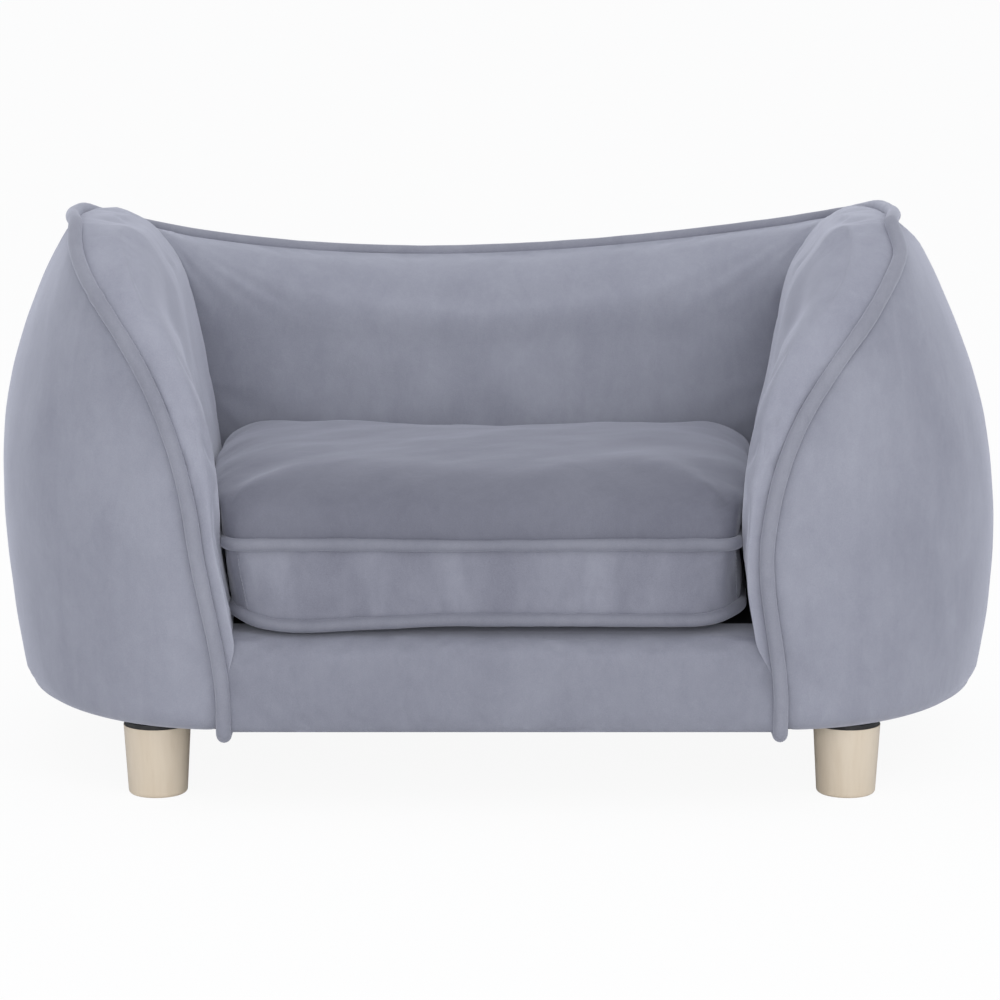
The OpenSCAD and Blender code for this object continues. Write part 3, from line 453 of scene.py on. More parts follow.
@dataclass
class Skin:
    """A mesh under way: points in millimetres and the quads between them."""

    points: Array
    quads: Array

    @staticmethod
    def grid_quads(rows: int, cols: int, wrap: bool = False, first: int = 0) -> Array:
        """Quads of a grid of points, anticlockwise seen from the side its normals point to."""
        index = first + np.arange(rows * cols).reshape(rows, cols)
        if wrap:
            index = np.concatenate([index, index[:, :1]], 1)
        a, b = index[:-1, :-1], index[:-1, 1:]
        c, d = index[1:, 1:], index[1:, :-1]
        return np.stack([a, b, c, d], -1).reshape(-1, 4)

    @classmethod
    def slab(cls, outer: Array, inner: Array) -> "Skin":
        """Closed slab between two grids of the same shape, the outer one facing out."""
        rows, cols = outer.shape[:2]
        n = rows * cols
        index = np.arange(n).reshape(rows, cols)
        rim = np.concatenate([index[0, :], index[1:, -1], index[-1, -2::-1], index[-2:0:-1, 0]])
        after = np.roll(rim, -1)
        wall = np.stack([rim, rim + n, after + n, after], -1)
        out = cls.grid_quads(rows, cols)
        back = cls.grid_quads(rows, cols, first=n)[:, ::-1]
        points = np.concatenate([outer.reshape(-1, 3), inner.reshape(-1, 3)])
        return cls(points, np.concatenate([out, back, wall]))

    @classmethod
    def tube(cls, path: Array, refs: Array, radius: Array, sides: int, closed: bool) -> "Skin":
        """Tube along a path: rings of radius r at angle a, p + r (side cos a + up sin a), with flat ends.

        Args:
            path: centre line, n by 3.
            refs: a direction square to the path at each ring, n by 3.
            radius: radius of each ring's points, broadcast to n by sides.
            sides: points in a ring, an even number.
            closed: whether the last ring joins the first.
        """
        if closed:
            along = unit(np.roll(path, -1, 0) - np.roll(path, 1, 0))
        else:
            along = unit(np.gradient(path, axis=0))
        side = unit(refs - along * (refs * along).sum(-1, keepdims=True))
        up = np.cross(along, side)
        a = np.linspace(0, 2 * np.pi, sides, endpoint=False)
        ring = side[:, None] * np.cos(a)[None, :, None] + up[:, None] * np.sin(a)[None, :, None]
        rings = path[:, None] + ring * np.broadcast_to(radius, ring.shape[:2])[..., None]
        n = len(path)
        grid = np.concatenate([rings, rings[:1]]) if closed else rings
        quads = cls.grid_quads(len(grid), sides, wrap=True)
        if closed:
            return cls(rings.reshape(-1, 3), quads % (n * sides))
        i = np.arange(sides // 2 - 1)
        cap = np.stack([i, i + 1, sides - 2 - i, sides - 1 - i], -1)
        quads = np.concatenate([quads, cap[:, ::-1], cap + (n - 1) * sides])
        return cls(rings.reshape(-1, 3), quads)

    def build(self, name: str, sharp: float = 65.0) -> bpy.types.Object:
        """Store the skin as a smooth mesh object at the origin, in metres.

        Args:
            name: the piece's name.
            sharp: angle in degrees past which an edge stays sharp.
        """
        mesh = bpy.data.meshes.new(name)
        n = len(self.quads)
        mesh.vertices.add(len(self.points))
        mesh.vertices.foreach_set("co", (self.points * MM).astype(np.float32).ravel())
        mesh.loops.add(4 * n)
        mesh.loops.foreach_set("vertex_index", self.quads.astype(np.int32).ravel())
        mesh.polygons.add(n)
        mesh.polygons.foreach_set("loop_start", np.arange(0, 4 * n, 4, dtype=np.int32))
        mesh.update(calc_edges=True)
        mesh.validate()
        mesh.polygons.foreach_set("use_smooth", np.ones(len(mesh.polygons), dtype=bool))
        mesh.set_sharp_from_angle(angle=np.radians(sharp))
        piece = bpy.data.objects.new(name, mesh)
        bpy.context.scene.collection.objects.link(piece)
        return piece


@dataclass(frozen=True)
class ClothRun:
    """One short cloth simulation that fills a stitched cover with its padding."""

    pressure: float = 4.0
    slack: float = 0.0
    bending: float = 0.5
    frames: int = 20
    cap: float = 6.0

    def fill(self, name: str, skin: Skin, held: Array) -> Array:
        """Inflate a skin whose seams are held, and keep each point within the cap of its start.

        Args:
            name: name of the temporary object.
            skin: the cover before filling.
            held: pin weight of each point, 1 where a seam or a board holds it.

        Returns:
            The filled points in millimetres.
        """
        piece = skin.build(f"{name}_run")
        group = piece.vertex_groups.new(name="seam")
        for weight in np.unique(held):
            group.add(np.flatnonzero(held == weight).tolist(), float(weight), "REPLACE")
        cloth = piece.modifiers.new("Cloth", "CLOTH")
        cfg = cloth.settings
        cfg.quality = 6
        cfg.vertex_group_mass = "seam"
        cfg.use_pressure = True
        cfg.uniform_pressure_force = self.pressure
        cfg.shrink_min = -self.slack
        cfg.bending_stiffness = self.bending
        cfg.effector_weights.gravity = 0.0
        cloth.collision_settings.use_collision = False
        cloth.point_cache.frame_start, cloth.point_cache.frame_end = 1, self.frames
        scene = bpy.context.scene
        for frame in range(1, self.frames + 1):
            scene.frame_set(frame)
        solved = piece.evaluated_get(bpy.context.evaluated_depsgraph_get()).data
        flat = np.empty(len(solved.vertices) * 3, dtype=np.float32)
        solved.vertices.foreach_get("co", flat)
        scene.frame_set(1)
        mesh = piece.data
        bpy.data.objects.remove(piece)
        bpy.data.meshes.remove(mesh)
        move = flat.reshape(-1, 3).astype(float) / MM - skin.points
        length = np.linalg.norm(move, axis=-1, keepdims=True)
        soft = self.cap * np.tanh(length / self.cap)
        return skin.points + move * soft / np.maximum(length, 1e-9) * (1 - held[:, None])


def fill_grid(run: ClothRun, name: str, grid: Array, held: Array) -> Array:
    """Run the cloth on a grid of points and give the grid back filled."""
    rows, cols = grid.shape[:2]
    skin = Skin(grid.reshape(-1, 3), Skin.grid_quads(rows, cols))
    return run.fill(name, skin, held.ravel()).reshape(grid.shape)


def held_edges(rows: int, cols: int) -> Array:
    """Pin weights of a grid whose four edges are sewn down."""
    held = np.zeros((rows, cols))
    held[0], held[-1], held[:, 0], held[:, -1] = 1, 1, 1, 1
    return held


def seam_dip(grid: Array, span: float = 4.0) -> Array:
    """1 at the seams of a cover's last row and its first and last columns, fading over a span in mm."""
    across = np.linalg.norm(np.diff(grid, axis=1), axis=-1).cumsum(1)
    upward = np.linalg.norm(np.diff(grid, axis=0), axis=-1).cumsum(0)
    left = np.concatenate([0 * across[:, :1], across], 1)
    down = np.concatenate([0 * upward[:1], upward], 0)
    nearest = np.minimum(np.minimum(left, left[:, -1:] - left), down[-1:] - down)
    return np.exp(-((nearest / span) ** 2))


class Field:
    """A value socket of a material, with the operators of ordinary arithmetic."""

    def __init__(self, graph: "Graph", socket: bpy.types.NodeSocket) -> None:
        """Wrap a node's socket."""
        self.graph = graph
        self.socket = socket

    def _math(self, operation: str, a: "Field | float", b: "Field | float") -> "Field":
        """One Math node on a and b."""
        return self.graph.node("ShaderNodeMath", {"operation": operation}, {0: a, 1: b})

    def __add__(self, other: "Field | float") -> "Field":
        """Sum."""
        return self._math("ADD", self, other)

    __radd__ = __add__

    def __sub__(self, other: "Field | float") -> "Field":
        """Difference."""
        return self._math("SUBTRACT", self, other)

    def __rsub__(self, other: "Field | float") -> "Field":
        """Difference from a number."""
        return self._math("SUBTRACT", other, self)

    def __mul__(self, other: "Field | float") -> "Field":
        """Product."""
        return self._math("MULTIPLY", self, other)

    def __truediv__(self, other: "Field | float") -> "Field":
        """Quotient."""
        return self._math("DIVIDE", self, other)

    def most(self, other: "Field | float") -> "Field":
        """The larger of two values."""
        return self._math("MAXIMUM", self, other)

    def held(self) -> "Field":
        """The value kept between 0 and 1."""
        return self._math("MINIMUM", self._math("MAXIMUM", self, 0.0), 1.0)

    def band(self, low: float, high: float) -> "Field":
        """The value stretched so that low is 0 and high is 1, and held there."""
        return ((self - low) / (high - low)).held()


class Graph:
    """A node tree, and the one call that its nodes are made with."""

    def __init__(self, tree: bpy.types.NodeTree) -> None:
        """Start from an empty tree."""
        self.tree = tree
        self.tree.nodes.clear()

    def node(self, kind: str, settings: dict, inputs: dict, out: int | str = 0) -> Field:
        """Add a node.

        Args:
            kind: the node's type.
            settings: its properties, set before its sockets.
            inputs: socket name or number to a value, a socket or a Field.
            out: which output to give back.

        Returns:
            The chosen output, or the node's first input where it has no output.
        """
        made = self.tree.nodes.new(kind)
        for key, value in settings.items():
            setattr(made, key, value)
        for key, value in inputs.items():
            if isinstance(value, Field):
                self.tree.links.new(value.socket, made.inputs[key])
            else:
                made.inputs[key].default_value = value
        return Field(self, made.outputs[out] if len(made.outputs) else made.inputs[0])


class Paint(Graph):
    """A material and the few calls that its finishes are written with."""

    def __init__(self, name: str) -> None:
        """Start an empty node material."""
        self.material = bpy.data.materials.new(name)
        self.material.use_nodes = True
        super().__init__(self.material.node_tree)
        self.coords = self.node("ShaderNodeTexCoord", {}, {}, "Object")

    def place(self, scale: Colour = (1, 1, 1), turn: Colour = (0, 0, 0)) -> Field:
        """Object coordinates, stretched and turned."""
        return self.node("ShaderNodeMapping", {}, {"Vector": self.coords, "Scale": scale, "Rotation": turn})

    def noise(
        self,
        scale: float,
        detail: float = 2.0,
        rough: float = 0.5,
        twist: float = 0.0,
        at: Field | None = None,
    ) -> Field:
        """Fractal noise of 0 to 1."""
        inputs = {"Scale": scale, "Detail": detail, "Roughness": rough, "Distortion": twist}
        return self.node("ShaderNodeTexNoise", {}, {"Vector": at or self.coords} | inputs)

    def cells(self, scale: float, at: Field | None = None) -> Field:
        """Distance to the nearest of scattered points, in cells."""
        return self.node("ShaderNodeTexVoronoi", {}, {"Vector": at or self.coords, "Scale": scale})

    def axis(self, which: int) -> Field:
        """One of the object's own coordinates, in metres."""
        return self.node("ShaderNodeSeparateXYZ", {}, {0: self.coords}, which)

    def blend(self, low: Colour | Field, high: Colour, factor: Field) -> Field:
        """Colour between a colour, or a colour socket, and another colour."""
        start = low if isinstance(low, Field) else (*low, 1.0)
        settings = {"data_type": "RGBA", "clamp_factor": True}
        return self.node("ShaderNodeMix", settings, {0: factor, 6: start, 7: (*high, 1.0)}, 2)

    def bump(self, height: Field, strength: float, distance: float, under: Field | None = None) -> Field:
        """Surface relief from a height."""
        inputs: dict = {"Strength": strength, "Distance": distance, "Height": height}
        if under is not None:
            inputs["Normal"] = under
        return self.node("ShaderNodeBump", {}, inputs)

    def finish(
        self, colour: Field, rough: Field | float, normal: Field | None = None, **fixed: float | tuple
    ) -> Material:
        """Close the material with its shader.

        Args:
            colour: base colour.
            rough: roughness.
            normal: relief, if any.
            fixed: shader sockets that are the same all over, by name with underscores for spaces.
        """
        inputs: dict = {"Base Color": colour, "Roughness": rough}
        inputs |= {key.replace("_", " "): value for key, value in fixed.items()}
        if normal is not None:
            inputs["Normal"] = normal
        shader = self.node("ShaderNodeBsdfPrincipled", {}, inputs)
        self.node_output(shader)
        return self.material

    def node_output(self, shader: Field) -> None:
        """Join a shader to the material's output."""
        self.node("ShaderNodeOutputMaterial", {}, {"Surface": shader})


@dataclass(frozen=True)
class Velvet:
    """Short-pile velvet: clouded nap, faint streaks where the pile was stroked, and a bright sheen."""

    name: str = "velvet"
    deep: Colour = (0.215, 0.221, 0.272)
    pale: Colour = (0.345, 0.353, 0.410)
    brushed: float = 0.25

    def make(self) -> Material:
        """Build the material."""
        p = Paint(self.name)
        cloud = p.noise(8.0, 3.0, 0.55, 0.6)
        mottle = p.noise(44.0, 4.0, 0.6, 1.3)
        stroke = p.noise(30.0, 2.0, 0.5, 0.8, p.place((1.0, 1.0, 0.3)))
        streak = p.noise(210.0, 3.0, 0.6, 0.4, p.place((1.0, 1.0, 0.45), (0.1, 0.1, 0.0)))
        pile = p.noise(1700.0, 2.0, 0.7)
        tone = 0.5 + (cloud - 0.5) * 0.75 + (mottle - 0.5) * 0.35 + (stroke - 0.5) * self.brushed * 2
        tone = tone + (streak - 0.5) * 0.3 + (pile - 0.5) * 0.75
        colour = p.blend(self.deep, self.pale, tone.held())
        rough = 0.74 + (mottle - 0.5) * 0.2
        crushed = p.bump(mottle, 0.12, 0.0020)
        relief = p.bump(pile * 0.55 + streak * 0.45, 0.4, 0.0005, crushed)
        return p.finish(
            colour,
            rough,
            relief,
            Sheen_Weight=0.55,
            Sheen_Roughness=0.42,
            Sheen_Tint=(0.86, 0.88, 1.0, 1.0),
            Specular_IOR_Level=0.18,
        )


@dataclass(frozen=True)
class PaleBeech:
    """Beech turned to a taper, stained pale and sealed."""

    name: str = "pale_beech"
    deep: Colour = (0.62, 0.515, 0.385)
    pale: Colour = (0.73, 0.635, 0.505)

    def make(self) -> Material:
        """Build the material."""
        p = Paint(self.name)
        grain = p.noise(160.0, 5.0, 0.6, 0.4, p.place((1.0, 1.0, 0.07)))
        fleck = p.cells(420.0, p.place((1.0, 1.0, 0.16)))
        slow = p.noise(22.0, 2.0, 0.5, 0.0, p.place((1.0, 1.0, 0.4)))
        tone = grain * 0.5 + slow * 0.5 + (fleck.band(0.12, 0.4) - 1) * 0.06
        colour = p.blend(self.deep, self.pale, tone.band(0.22, 0.72))
        relief = p.bump(grain, 0.12, 0.0003)
        return p.finish(colour, 0.42 + (grain - 0.5) * 0.16, relief, Coat_Weight=0.12, Coat_Roughness=0.3)


@dataclass(frozen=True)
class Plywood:
    """Birch plywood: face grain along X and glue lines square to one axis."""

    name: str
    across: int = 2
    ply: float = 0.0015

    def make(self) -> Material:
        """Build the material."""
        p = Paint(self.name)
        grain = p.noise(90.0, 5.0, 0.62, 0.8, p.place((0.09, 1.0, 1.0)))
        depth = p.axis(self.across) / self.ply
        line = p.node("ShaderNodeMath", {"operation": "PINGPONG"}, {0: depth, 1: 1.0})
        colour = p.blend((0.50, 0.345, 0.19), (0.80, 0.64, 0.43), grain.band(0.28, 0.72))
        colour = p.blend(colour, (0.36, 0.22, 0.11), line.band(0.3, 0.0) * 0.45)
        return p.finish(colour, 0.62 + (grain - 0.5) * 0.2, p.bump(grain, 0.2, 0.0004))


@dataclass(frozen=True)
class Hardboard:
    """Brown pressed fibreboard with short dark fibres."""

    name: str = "hardboard"

    def make(self) -> Material:
        """Build the material."""
        p = Paint(self.name)
        fibre = p.noise(520.0, 4.0, 0.7, 2.0)
        cloud = p.noise(24.0, 2.0)
        tone = (fibre * 0.75 + cloud * 0.3).band(0.25, 0.8)
        colour = p.blend((0.17, 0.09, 0.045), (0.40, 0.25, 0.135), tone)
        return p.finish(colour, 0.5 + (fibre - 0.5) * 0.3, p.bump(fibre, 0.25, 0.0003))


@dataclass(frozen=True)
class CutFoam:
    """Cream upholstery foam with open cells."""

    name: str = "cut_foam"

    def make(self) -> Material:
        """Build the material."""
        p = Paint(self.name)
        cell = p.cells(620.0)
        cloud = p.noise(18.0, 3.0)
        tone = (cell * 0.7 + cloud * 0.5).band(0.15, 0.85)
        colour = p.blend((0.66, 0.56, 0.36), (0.88, 0.81, 0.62), tone)
        return p.finish(colour, 0.93 - cell * 0.1, p.bump(cell, 0.6, 0.0009), Specular_IOR_Level=0.1)


@dataclass(frozen=True)
class NonWoven:
    """Black spun-bonded cloth with its grid of pressed dots."""

    name: str = "non_woven"

    def make(self) -> Material:
        """Build the material."""
        p = Paint(self.name)
        dots = p.node(
            "ShaderNodeTexVoronoi", {"distance": "CHEBYCHEV"},
            {"Vector": p.place((1, 1, 1), (0, 0, 0.785)), "Scale": 520.0, "Randomness": 0.12},
        )
        fibre = p.noise(900.0, 3.0, 0.7, 2.5)
        colour = p.blend((0.006, 0.006, 0.007), (0.032, 0.032, 0.036), (fibre * 0.8 + dots * 0.3).held())
        relief = p.bump(dots + fibre * 0.4, 0.4, 0.0004)
        return p.finish(colour, 0.82 - dots * 0.2, relief, Specular_IOR_Level=0.25)


@dataclass(frozen=True)
class ZincSteel:
    """Zinc-plated steel with faint turning marks."""

    name: str = "zinc_steel"

    def make(self) -> Material:
        """Build the material."""
        p = Paint(self.name)
        marks = p.noise(340.0, 3.0, 0.6, 0.0, p.place((0.4, 0.4, 3.0)))
        cloud = p.noise(60.0, 3.0)
        colour = p.blend((0.50, 0.50, 0.51), (0.74, 0.74, 0.73), cloud.band(0.3, 0.7))
        return p.finish(colour, 0.28 + marks * 0.2, p.bump(marks, 0.08, 0.0002), Metallic=1.0)


@dataclass(frozen=True)
class DarkRubber:
    """Matt black rubber washer stock with a dusty bloom."""

    name: str = "dark_rubber"

    def make(self) -> Material:
        """Build the material."""
        p = Paint(self.name)
        dust = p.noise(120.0, 4.0, 0.65)
        colour = p.blend((0.010, 0.010, 0.011), (0.045, 0.044, 0.043), dust.band(0.35, 0.75))
        return p.finish(colour, 0.78 + (dust - 0.5) * 0.2, p.bump(dust, 0.15, 0.0003))


@dataclass(frozen=True)
class ZipNylon:
    """Grey moulded nylon of the zip's coil."""

    name: str = "zip_nylon"

    def make(self) -> Material:
        """Build the material."""
        p = Paint(self.name)
        wear = p.noise(240.0, 3.0, 0.6)
        colour = p.blend((0.13, 0.135, 0.165), (0.24, 0.245, 0.285), wear.band(0.3, 0.7))
        return p.finish(colour, 0.38 + (wear - 0.5) * 0.2, p.bump(wear, 0.1, 0.0002))


class Finish(Protocol):
    """What every finish can do."""

    def make(self) -> Material:
        """Build the material."""


def made(finish: Finish) -> Material:
    """A field whose material is made with the wardrobe."""
    return field(default_factory=finish.make)


@dataclass
class Wardrobe:
    """One of each finish, made once. The velvet is one fabric, made in lighter and darker copies that paint
    light and shade onto the parts that wear them.
    """

    velvet: Material = made(Velvet())
    # body piping and stitches: a slightly darker copy of the velvet, painted shade on the welt
    piping: Material = made(Velvet("piping_velvet", (0.195, 0.199, 0.243), (0.318, 0.325, 0.375)))
    # back pad: a lighter copy of the velvet, painted light on the back pad's face
    rear: Material = made(Velvet("back_pad_lit_velvet", (0.245, 0.252, 0.308), (0.380, 0.390, 0.450)))
    # arm pads: a lighter copy of the velvet, painted light on their inner faces
    pad: Material = made(Velvet("arm_pad_lit_velvet", (0.238, 0.244, 0.300), (0.380, 0.388, 0.450)))
    # front panel: a darker copy of the velvet, painted shade under the cushion
    low: Material = made(Velvet("front_panel_shaded_velvet", (0.190, 0.195, 0.240), (0.300, 0.308, 0.360)))
    # cushion top: a much darker copy of the velvet, painted shade over the whole top panel
    shaded: Material = made(Velvet("cushion_top_velvet", (0.118, 0.121, 0.156), (0.2, 0.205, 0.246), 0.15))
    # cushion band: a darker copy of the velvet, painted shade on the band
    band: Material = made(Velvet("cushion_band_shaded_velvet", (0.165, 0.168, 0.210), (0.290, 0.297, 0.350), 0.6))
    # cushion pipings: a darker copy of the velvet, painted shade on the welts
    shaded_edging: Material = made(Velvet("cushion_piping_shaded_velvet", (0.160, 0.164, 0.202), (0.264, 0.270, 0.315)))
    beech: Material = made(PaleBeech())
    flat_ply: Material = made(Plywood("plywood_flat", 2))
    side_ply: Material = made(Plywood("plywood_side", 0))
    cross_ply: Material = made(Plywood("plywood_cross", 1))
    hardboard: Material = made(Hardboard())
    foam: Material = made(CutFoam())
    cloth: Material = made(NonWoven())
    steel: Material = made(ZincSteel())
    rubber: Material = made(DarkRubber())
    nylon: Material = made(ZipNylon())


def put(
    skin: Skin,
    name: str,
    body: Body,
    finish: Material,
    nodes: Sequence[str] = (),
) -> None:
    """Store a piece, give it its finish and say what it rides on and stands for.

    Args:
        skin: the piece's mesh.
        name: the piece's name.
        body: the body that it rides on.
        finish: its material.
        nodes: the CAD nodes that it replaces.
    """
    piece = skin.build(name)
    piece.data.materials.append(finish)
    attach(piece, body.value)
    if nodes:
        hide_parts(*nodes)
    log.info("%s: %d faces", name, len(piece.data.polygons))


@dataclass
class Shell:
    """The outside of the body: velvet over foam over bent hardboard, from the piping to the back."""

    wardrobe: Wardrobe
    form: BodyForm = field(default_factory=BodyForm)
    lean: Lean = field(default_factory=Lean)
    cover_t: float = 1.6
    foam_back: float = 9.9
    under: float = 11.0
    flap_drop: float = 0.7
    tuck: float = 3.0
    groove: float = 1.6
    glue: float = 0.3
    foam_least: float = 0.9
    run: ClothRun = field(default_factory=lambda: ClothRun(pressure=1.2, slack=0.004, bending=2.0, cap=2.2))

    def rows(self) -> Array:
        """Shares of the wall's height, close together where the velvet turns under the rim."""
        return np.concatenate([np.linspace(0, 0.045, 7)[:-1], np.linspace(0.045, 1, 66)])

    def velvet_grid(self, s: Array, t: Array, room: float) -> Array:
        """The strip turned flat under the rim, then the wall from the rim to room below the piping.

        Args:
            s: shares round the plan, rows by columns.
            t: shares of the wall's height, a column.
            room: distance kept from the piped edge.
        """
        z = mix(self.form.rim_h, self.form.edge_top(s) - room, t)
        wall = self.form.shell(s, z, self.form.rim_roll(z))
        depths = np.linspace(self.under, self.form.rim_round, 4)[:-1, None]
        flap = self.form.shell(s[:1], np.full((3, s.shape[1]), self.form.rim_h - self.flap_drop), depths)
        return np.concatenate([flap, wall])

    def side_grid(self, room: float) -> Array:
        """One side's velvet: rows from the flap up to the piping, columns from the piping to the seam."""
        t = self.rows()[:, None]
        c = np.linspace(0, 1, 100)[None, :] ** 1.1
        first = self.form.start_share(t, room)
        s = mix(first, self.form.outer_seam, c)
        return self.velvet_grid(s, t, room)

    def back_grid(self, room: float) -> Array:
        """The back's velvet, seam to seam, seen from behind."""
        across = np.linspace(-1, 1, 120)
        s = mix(3.0, self.form.outer_seam, np.abs(across) ** 0.8)[None, :]
        t = self.rows()[:, None]
        grid = self.velvet_grid(np.broadcast_to(s, (t.size, s.size)), t, room)
        grid[..., 0] *= -np.sign(across)[None, :] + (across == 0)
        return grid

    def filled(self, name: str, grid: Array) -> Array:
        """The velvet eased over its foam: cloth held at its seams, then faint hand-made unevenness."""
        held = held_edges(*grid.shape[:2])
        held[:5] = 1
        grid = fill_grid(self.run, name, grid, held)
        soft = Ripple(11, 150.0)(grid) * 0.8 + Ripple(12, 46.0)(grid) * 0.28
        return grid + grid_normals(grid) * (soft * (1 - held) - self.groove * seam_dip(grid))[..., None]

    def side(self, side: Side) -> None:
        """Velvet and foam of one side."""
        grid = self.filled(f"outer_{side.word}", self.side_grid(self.tuck))
        if side is Side.LEFT:
            grid = grid[:, ::-1] * MIRROR
        self.dress(grid, side.word)

    def dress(self, grid: Array, word: str) -> None:
        """Lean a cover's grid and store it and its foam."""
        leaned = self.lean(grid)
        normal = grid_normals(leaned)
        pressed = -((leaned - grid) * normal).sum(-1, keepdims=True)
        deep = np.maximum(self.foam_back - pressed, self.cover_t + self.foam_least)
        velvet = Skin.slab(leaned, leaned - normal * self.cover_t)
        finish, nodes = self.wardrobe.velvet, [f"outer_cover_{word}"]
        put(velvet, f"outer_velvet_{word}", Body.SOFA, finish, nodes)
        core = (slice(5, -4), slice(5, -3))
        outer, out, deep = leaned[core], normal[core], deep[core]
        foam = Skin.slab(outer - out * (self.cover_t + self.glue), outer - out * deep)
        finish, nodes = self.wardrobe.foam, [f"outer_foam_{word}"]
        put(foam, f"outer_padding_{word}", Body.SOFA, finish, nodes)

    def build(self) -> None:
        """Both sides and the back."""
        self.side(Side.LEFT)
        self.side(Side.RIGHT)
        self.dress(self.filled("outer_back", self.back_grid(self.tuck)), "back")


@dataclass
class SeatPads:
    """The padded inside: two arm pads, the back pad and the rolled front panel."""

    wardrobe: Wardrobe
    form: SeatForm = field(default_factory=SeatForm)
    lean: Lean = field(default_factory=Lean)
    cover_t: float = 1.6
    tuck: float = 2.2
    ditch: float = 1.2
    run: ClothRun = field(default_factory=lambda: ClothRun(pressure=2.4, slack=0.005, bending=1.2, cap=4.0))
    tip_rows: int = 11
    foam_start: int = 22
    foam_most: float = 14.0
    still_span: float = 0.45
    glue: float = 0.3
    on_board: float = 0.3
    front_roll: float = 12.0
    front_back: float = 13.9
    front_low: float = 106.1
    faces: dict[Side, Array] = field(default_factory=dict)

    def arm_shares(self) -> Array:
        """Shares of the climb and the arm's run, from the back to the lower end."""
        f = self.form
        tip = np.linspace(f.tip_u, f.low_u, self.tip_rows + 1)[:-1]
        return np.concatenate([tip, np.linspace(f.low_u, 1, 62)[:-1], np.linspace(1, 2, 46)])[::-1]

    def arm_grid(self) -> Array:
        """The arm pad's face: rows from the back to the front, columns from the piping down to the deck."""
        f, u = self.form, self.arm_shares()
        v = np.linspace(0, 1, 74)
        turn = f.seam_turn(u)
        across = unit(np.stack([-np.ones_like(u), -turn, np.zeros_like(u)], -1))
        e = f.body.edge(u) + across * self.tuck - f.roll_out(u) * self.ditch
        crown = np.stack([-2.0 * (1 - turn) * ease((u - f.low_u) / 0.3), 0 * u, 0 * u], -1)
        weight = mix(f.roll_weight, 1.0, turn)[:, None, None]
        return section(e, f.roll_corner(u), f.foot(u), f.roll_share, crown, v, weight)

    def arm_core(self, cols: int) -> Array:
        """Back face of the arm's foam: a narrow end by the piping low down, then on the arm board."""
        f = self.form
        u = np.clip(self.arm_shares(), f.low_u, 1.97)
        turn = f.seam_turn(u)
        opened = ease((u - f.low_u) / f.core_open)
        k = f.roll_corner(u) - f.roll_out(u) * f.edge_pad
        x = f.board(k[:, 2]) - f.gap
        y = np.maximum(k[:, 1], f.clear_y(x, k[:, 2])) + turn * (f.board_y - f.rear_y - f.back_lean)
        near = np.minimum(x + 4, f.body.edge(u)[:, 0] + f.gap)
        top = np.stack([near, y + 4 * turn, k[:, 2]], -1)
        corner = np.stack([mix(near + f.core_end, x, opened), y, k[:, 2]], -1)
        foot = f.foot(u)
        low_x = f.board(foot[:, 2]) - f.gap
        low_y = np.maximum(foot[:, 1], f.clear_y(low_x, foot[:, 2])) + turn * (f.board_y - f.rear_y)
        low_x = mix(near + f.core_end, low_x, opened)
        low = np.stack([low_x, mix(y + f.core_end, low_y, opened), foot[:, 2]], -1)
        return section(top, corner, low, 0.05, corner * 0, np.linspace(0, 1, cols))

    def back_grid(self) -> Array:
        """The back pad's face: rows across from left to right, columns from the piping to the deck."""
        f, b = self.form, self.form.body
        across = np.linspace(-1, 1, 132)
        s = mix(3.0, b.inner_seam, np.abs(across))
        turn = ease(1 - (s - b.inner_seam) / 0.5)
        e = b.shell(s, b.edge_top(s))
        reach = e[:, 0] / b.edge(np.array(2.0))[0]
        inward = unit(np.stack([-turn, -np.ones_like(turn), 0 * turn], -1))
        k = np.stack([f.top_half * reach, 0 * s + f.rear_y + f.back_lean, e[:, 2] + f.pad_crown], -1)
        foot = np.stack([f.rear_half * reach, 0 * s + f.rear_y, 0 * s + f.deck_h + f.gap], -1)
        start = e + inward * self.tuck - np.array([0, 0, self.ditch])
        crown = np.stack([0 * s, -5.0 * (1 - turn), 0 * s], -1)
        grid = section(start, k, foot, f.roll_share, crown, np.linspace(0, 1, 66))
        grid[..., 0] *= np.sign(across)[:, None]
        return grid

    def filled(self, name: str, grid: Array, still: Array | float = 0.0) -> Array:
        """The cover filled by cloth held at its seams and as far as still says, with faint puckers."""
        rows, cols = grid.shape[:2]
        held = np.maximum(held_edges(rows, cols), still)
        held[:, -3:] = 1
        grid = fill_grid(self.run, name, grid, held)
        normal = grid_normals(grid)
        span = np.linalg.norm(np.diff(grid, axis=1), axis=-1)
        from_piping = np.concatenate([np.zeros((rows, 1)), np.cumsum(span, 1)], 1)
        along = run_length(grid[:, 4])[:, None]
        wave = np.sin(2 * np.pi * along / 15 + 2.2 * Ripple(5, 60.0)(grid))
        wave = wave * Ripple(6, 55.0)(grid).clip(0, 1)
        pucker = 0.55 * wave * np.exp(-from_piping / 13) * ease(from_piping / 4)
        soft = Ripple(21, 95.0)(grid) * 0.7 + Ripple(22, 34.0)(grid) * 0.22
        return grid + normal * ((soft + pucker) * (1 - held))[..., None]

    def arm(self, side: Side) -> None:
        """Velvet and foam of one arm pad."""
        f, u = self.form, self.arm_shares()[:, None]
        still = np.round(1 - ease((u - f.low_u) / self.still_span), 2)
        grid = self.filled(f"arm_{side.word}", self.arm_grid(), still)
        core = self.arm_core(grid.shape[1])
        if side is Side.LEFT:
            grid, core = grid[::-1] * MIRROR, core[::-1] * MIRROR
        grid, leaned = self.lean(grid), self.lean(core)
        on_board = ease(np.linspace(0, 1, core.shape[1]) / self.on_board)[None, :]
        core[..., 0] = mix(leaned[..., 0], core[..., 0], on_board)
        self.faces[side] = grid
        self.dress(grid, core, "arm", f"_{side.word}")

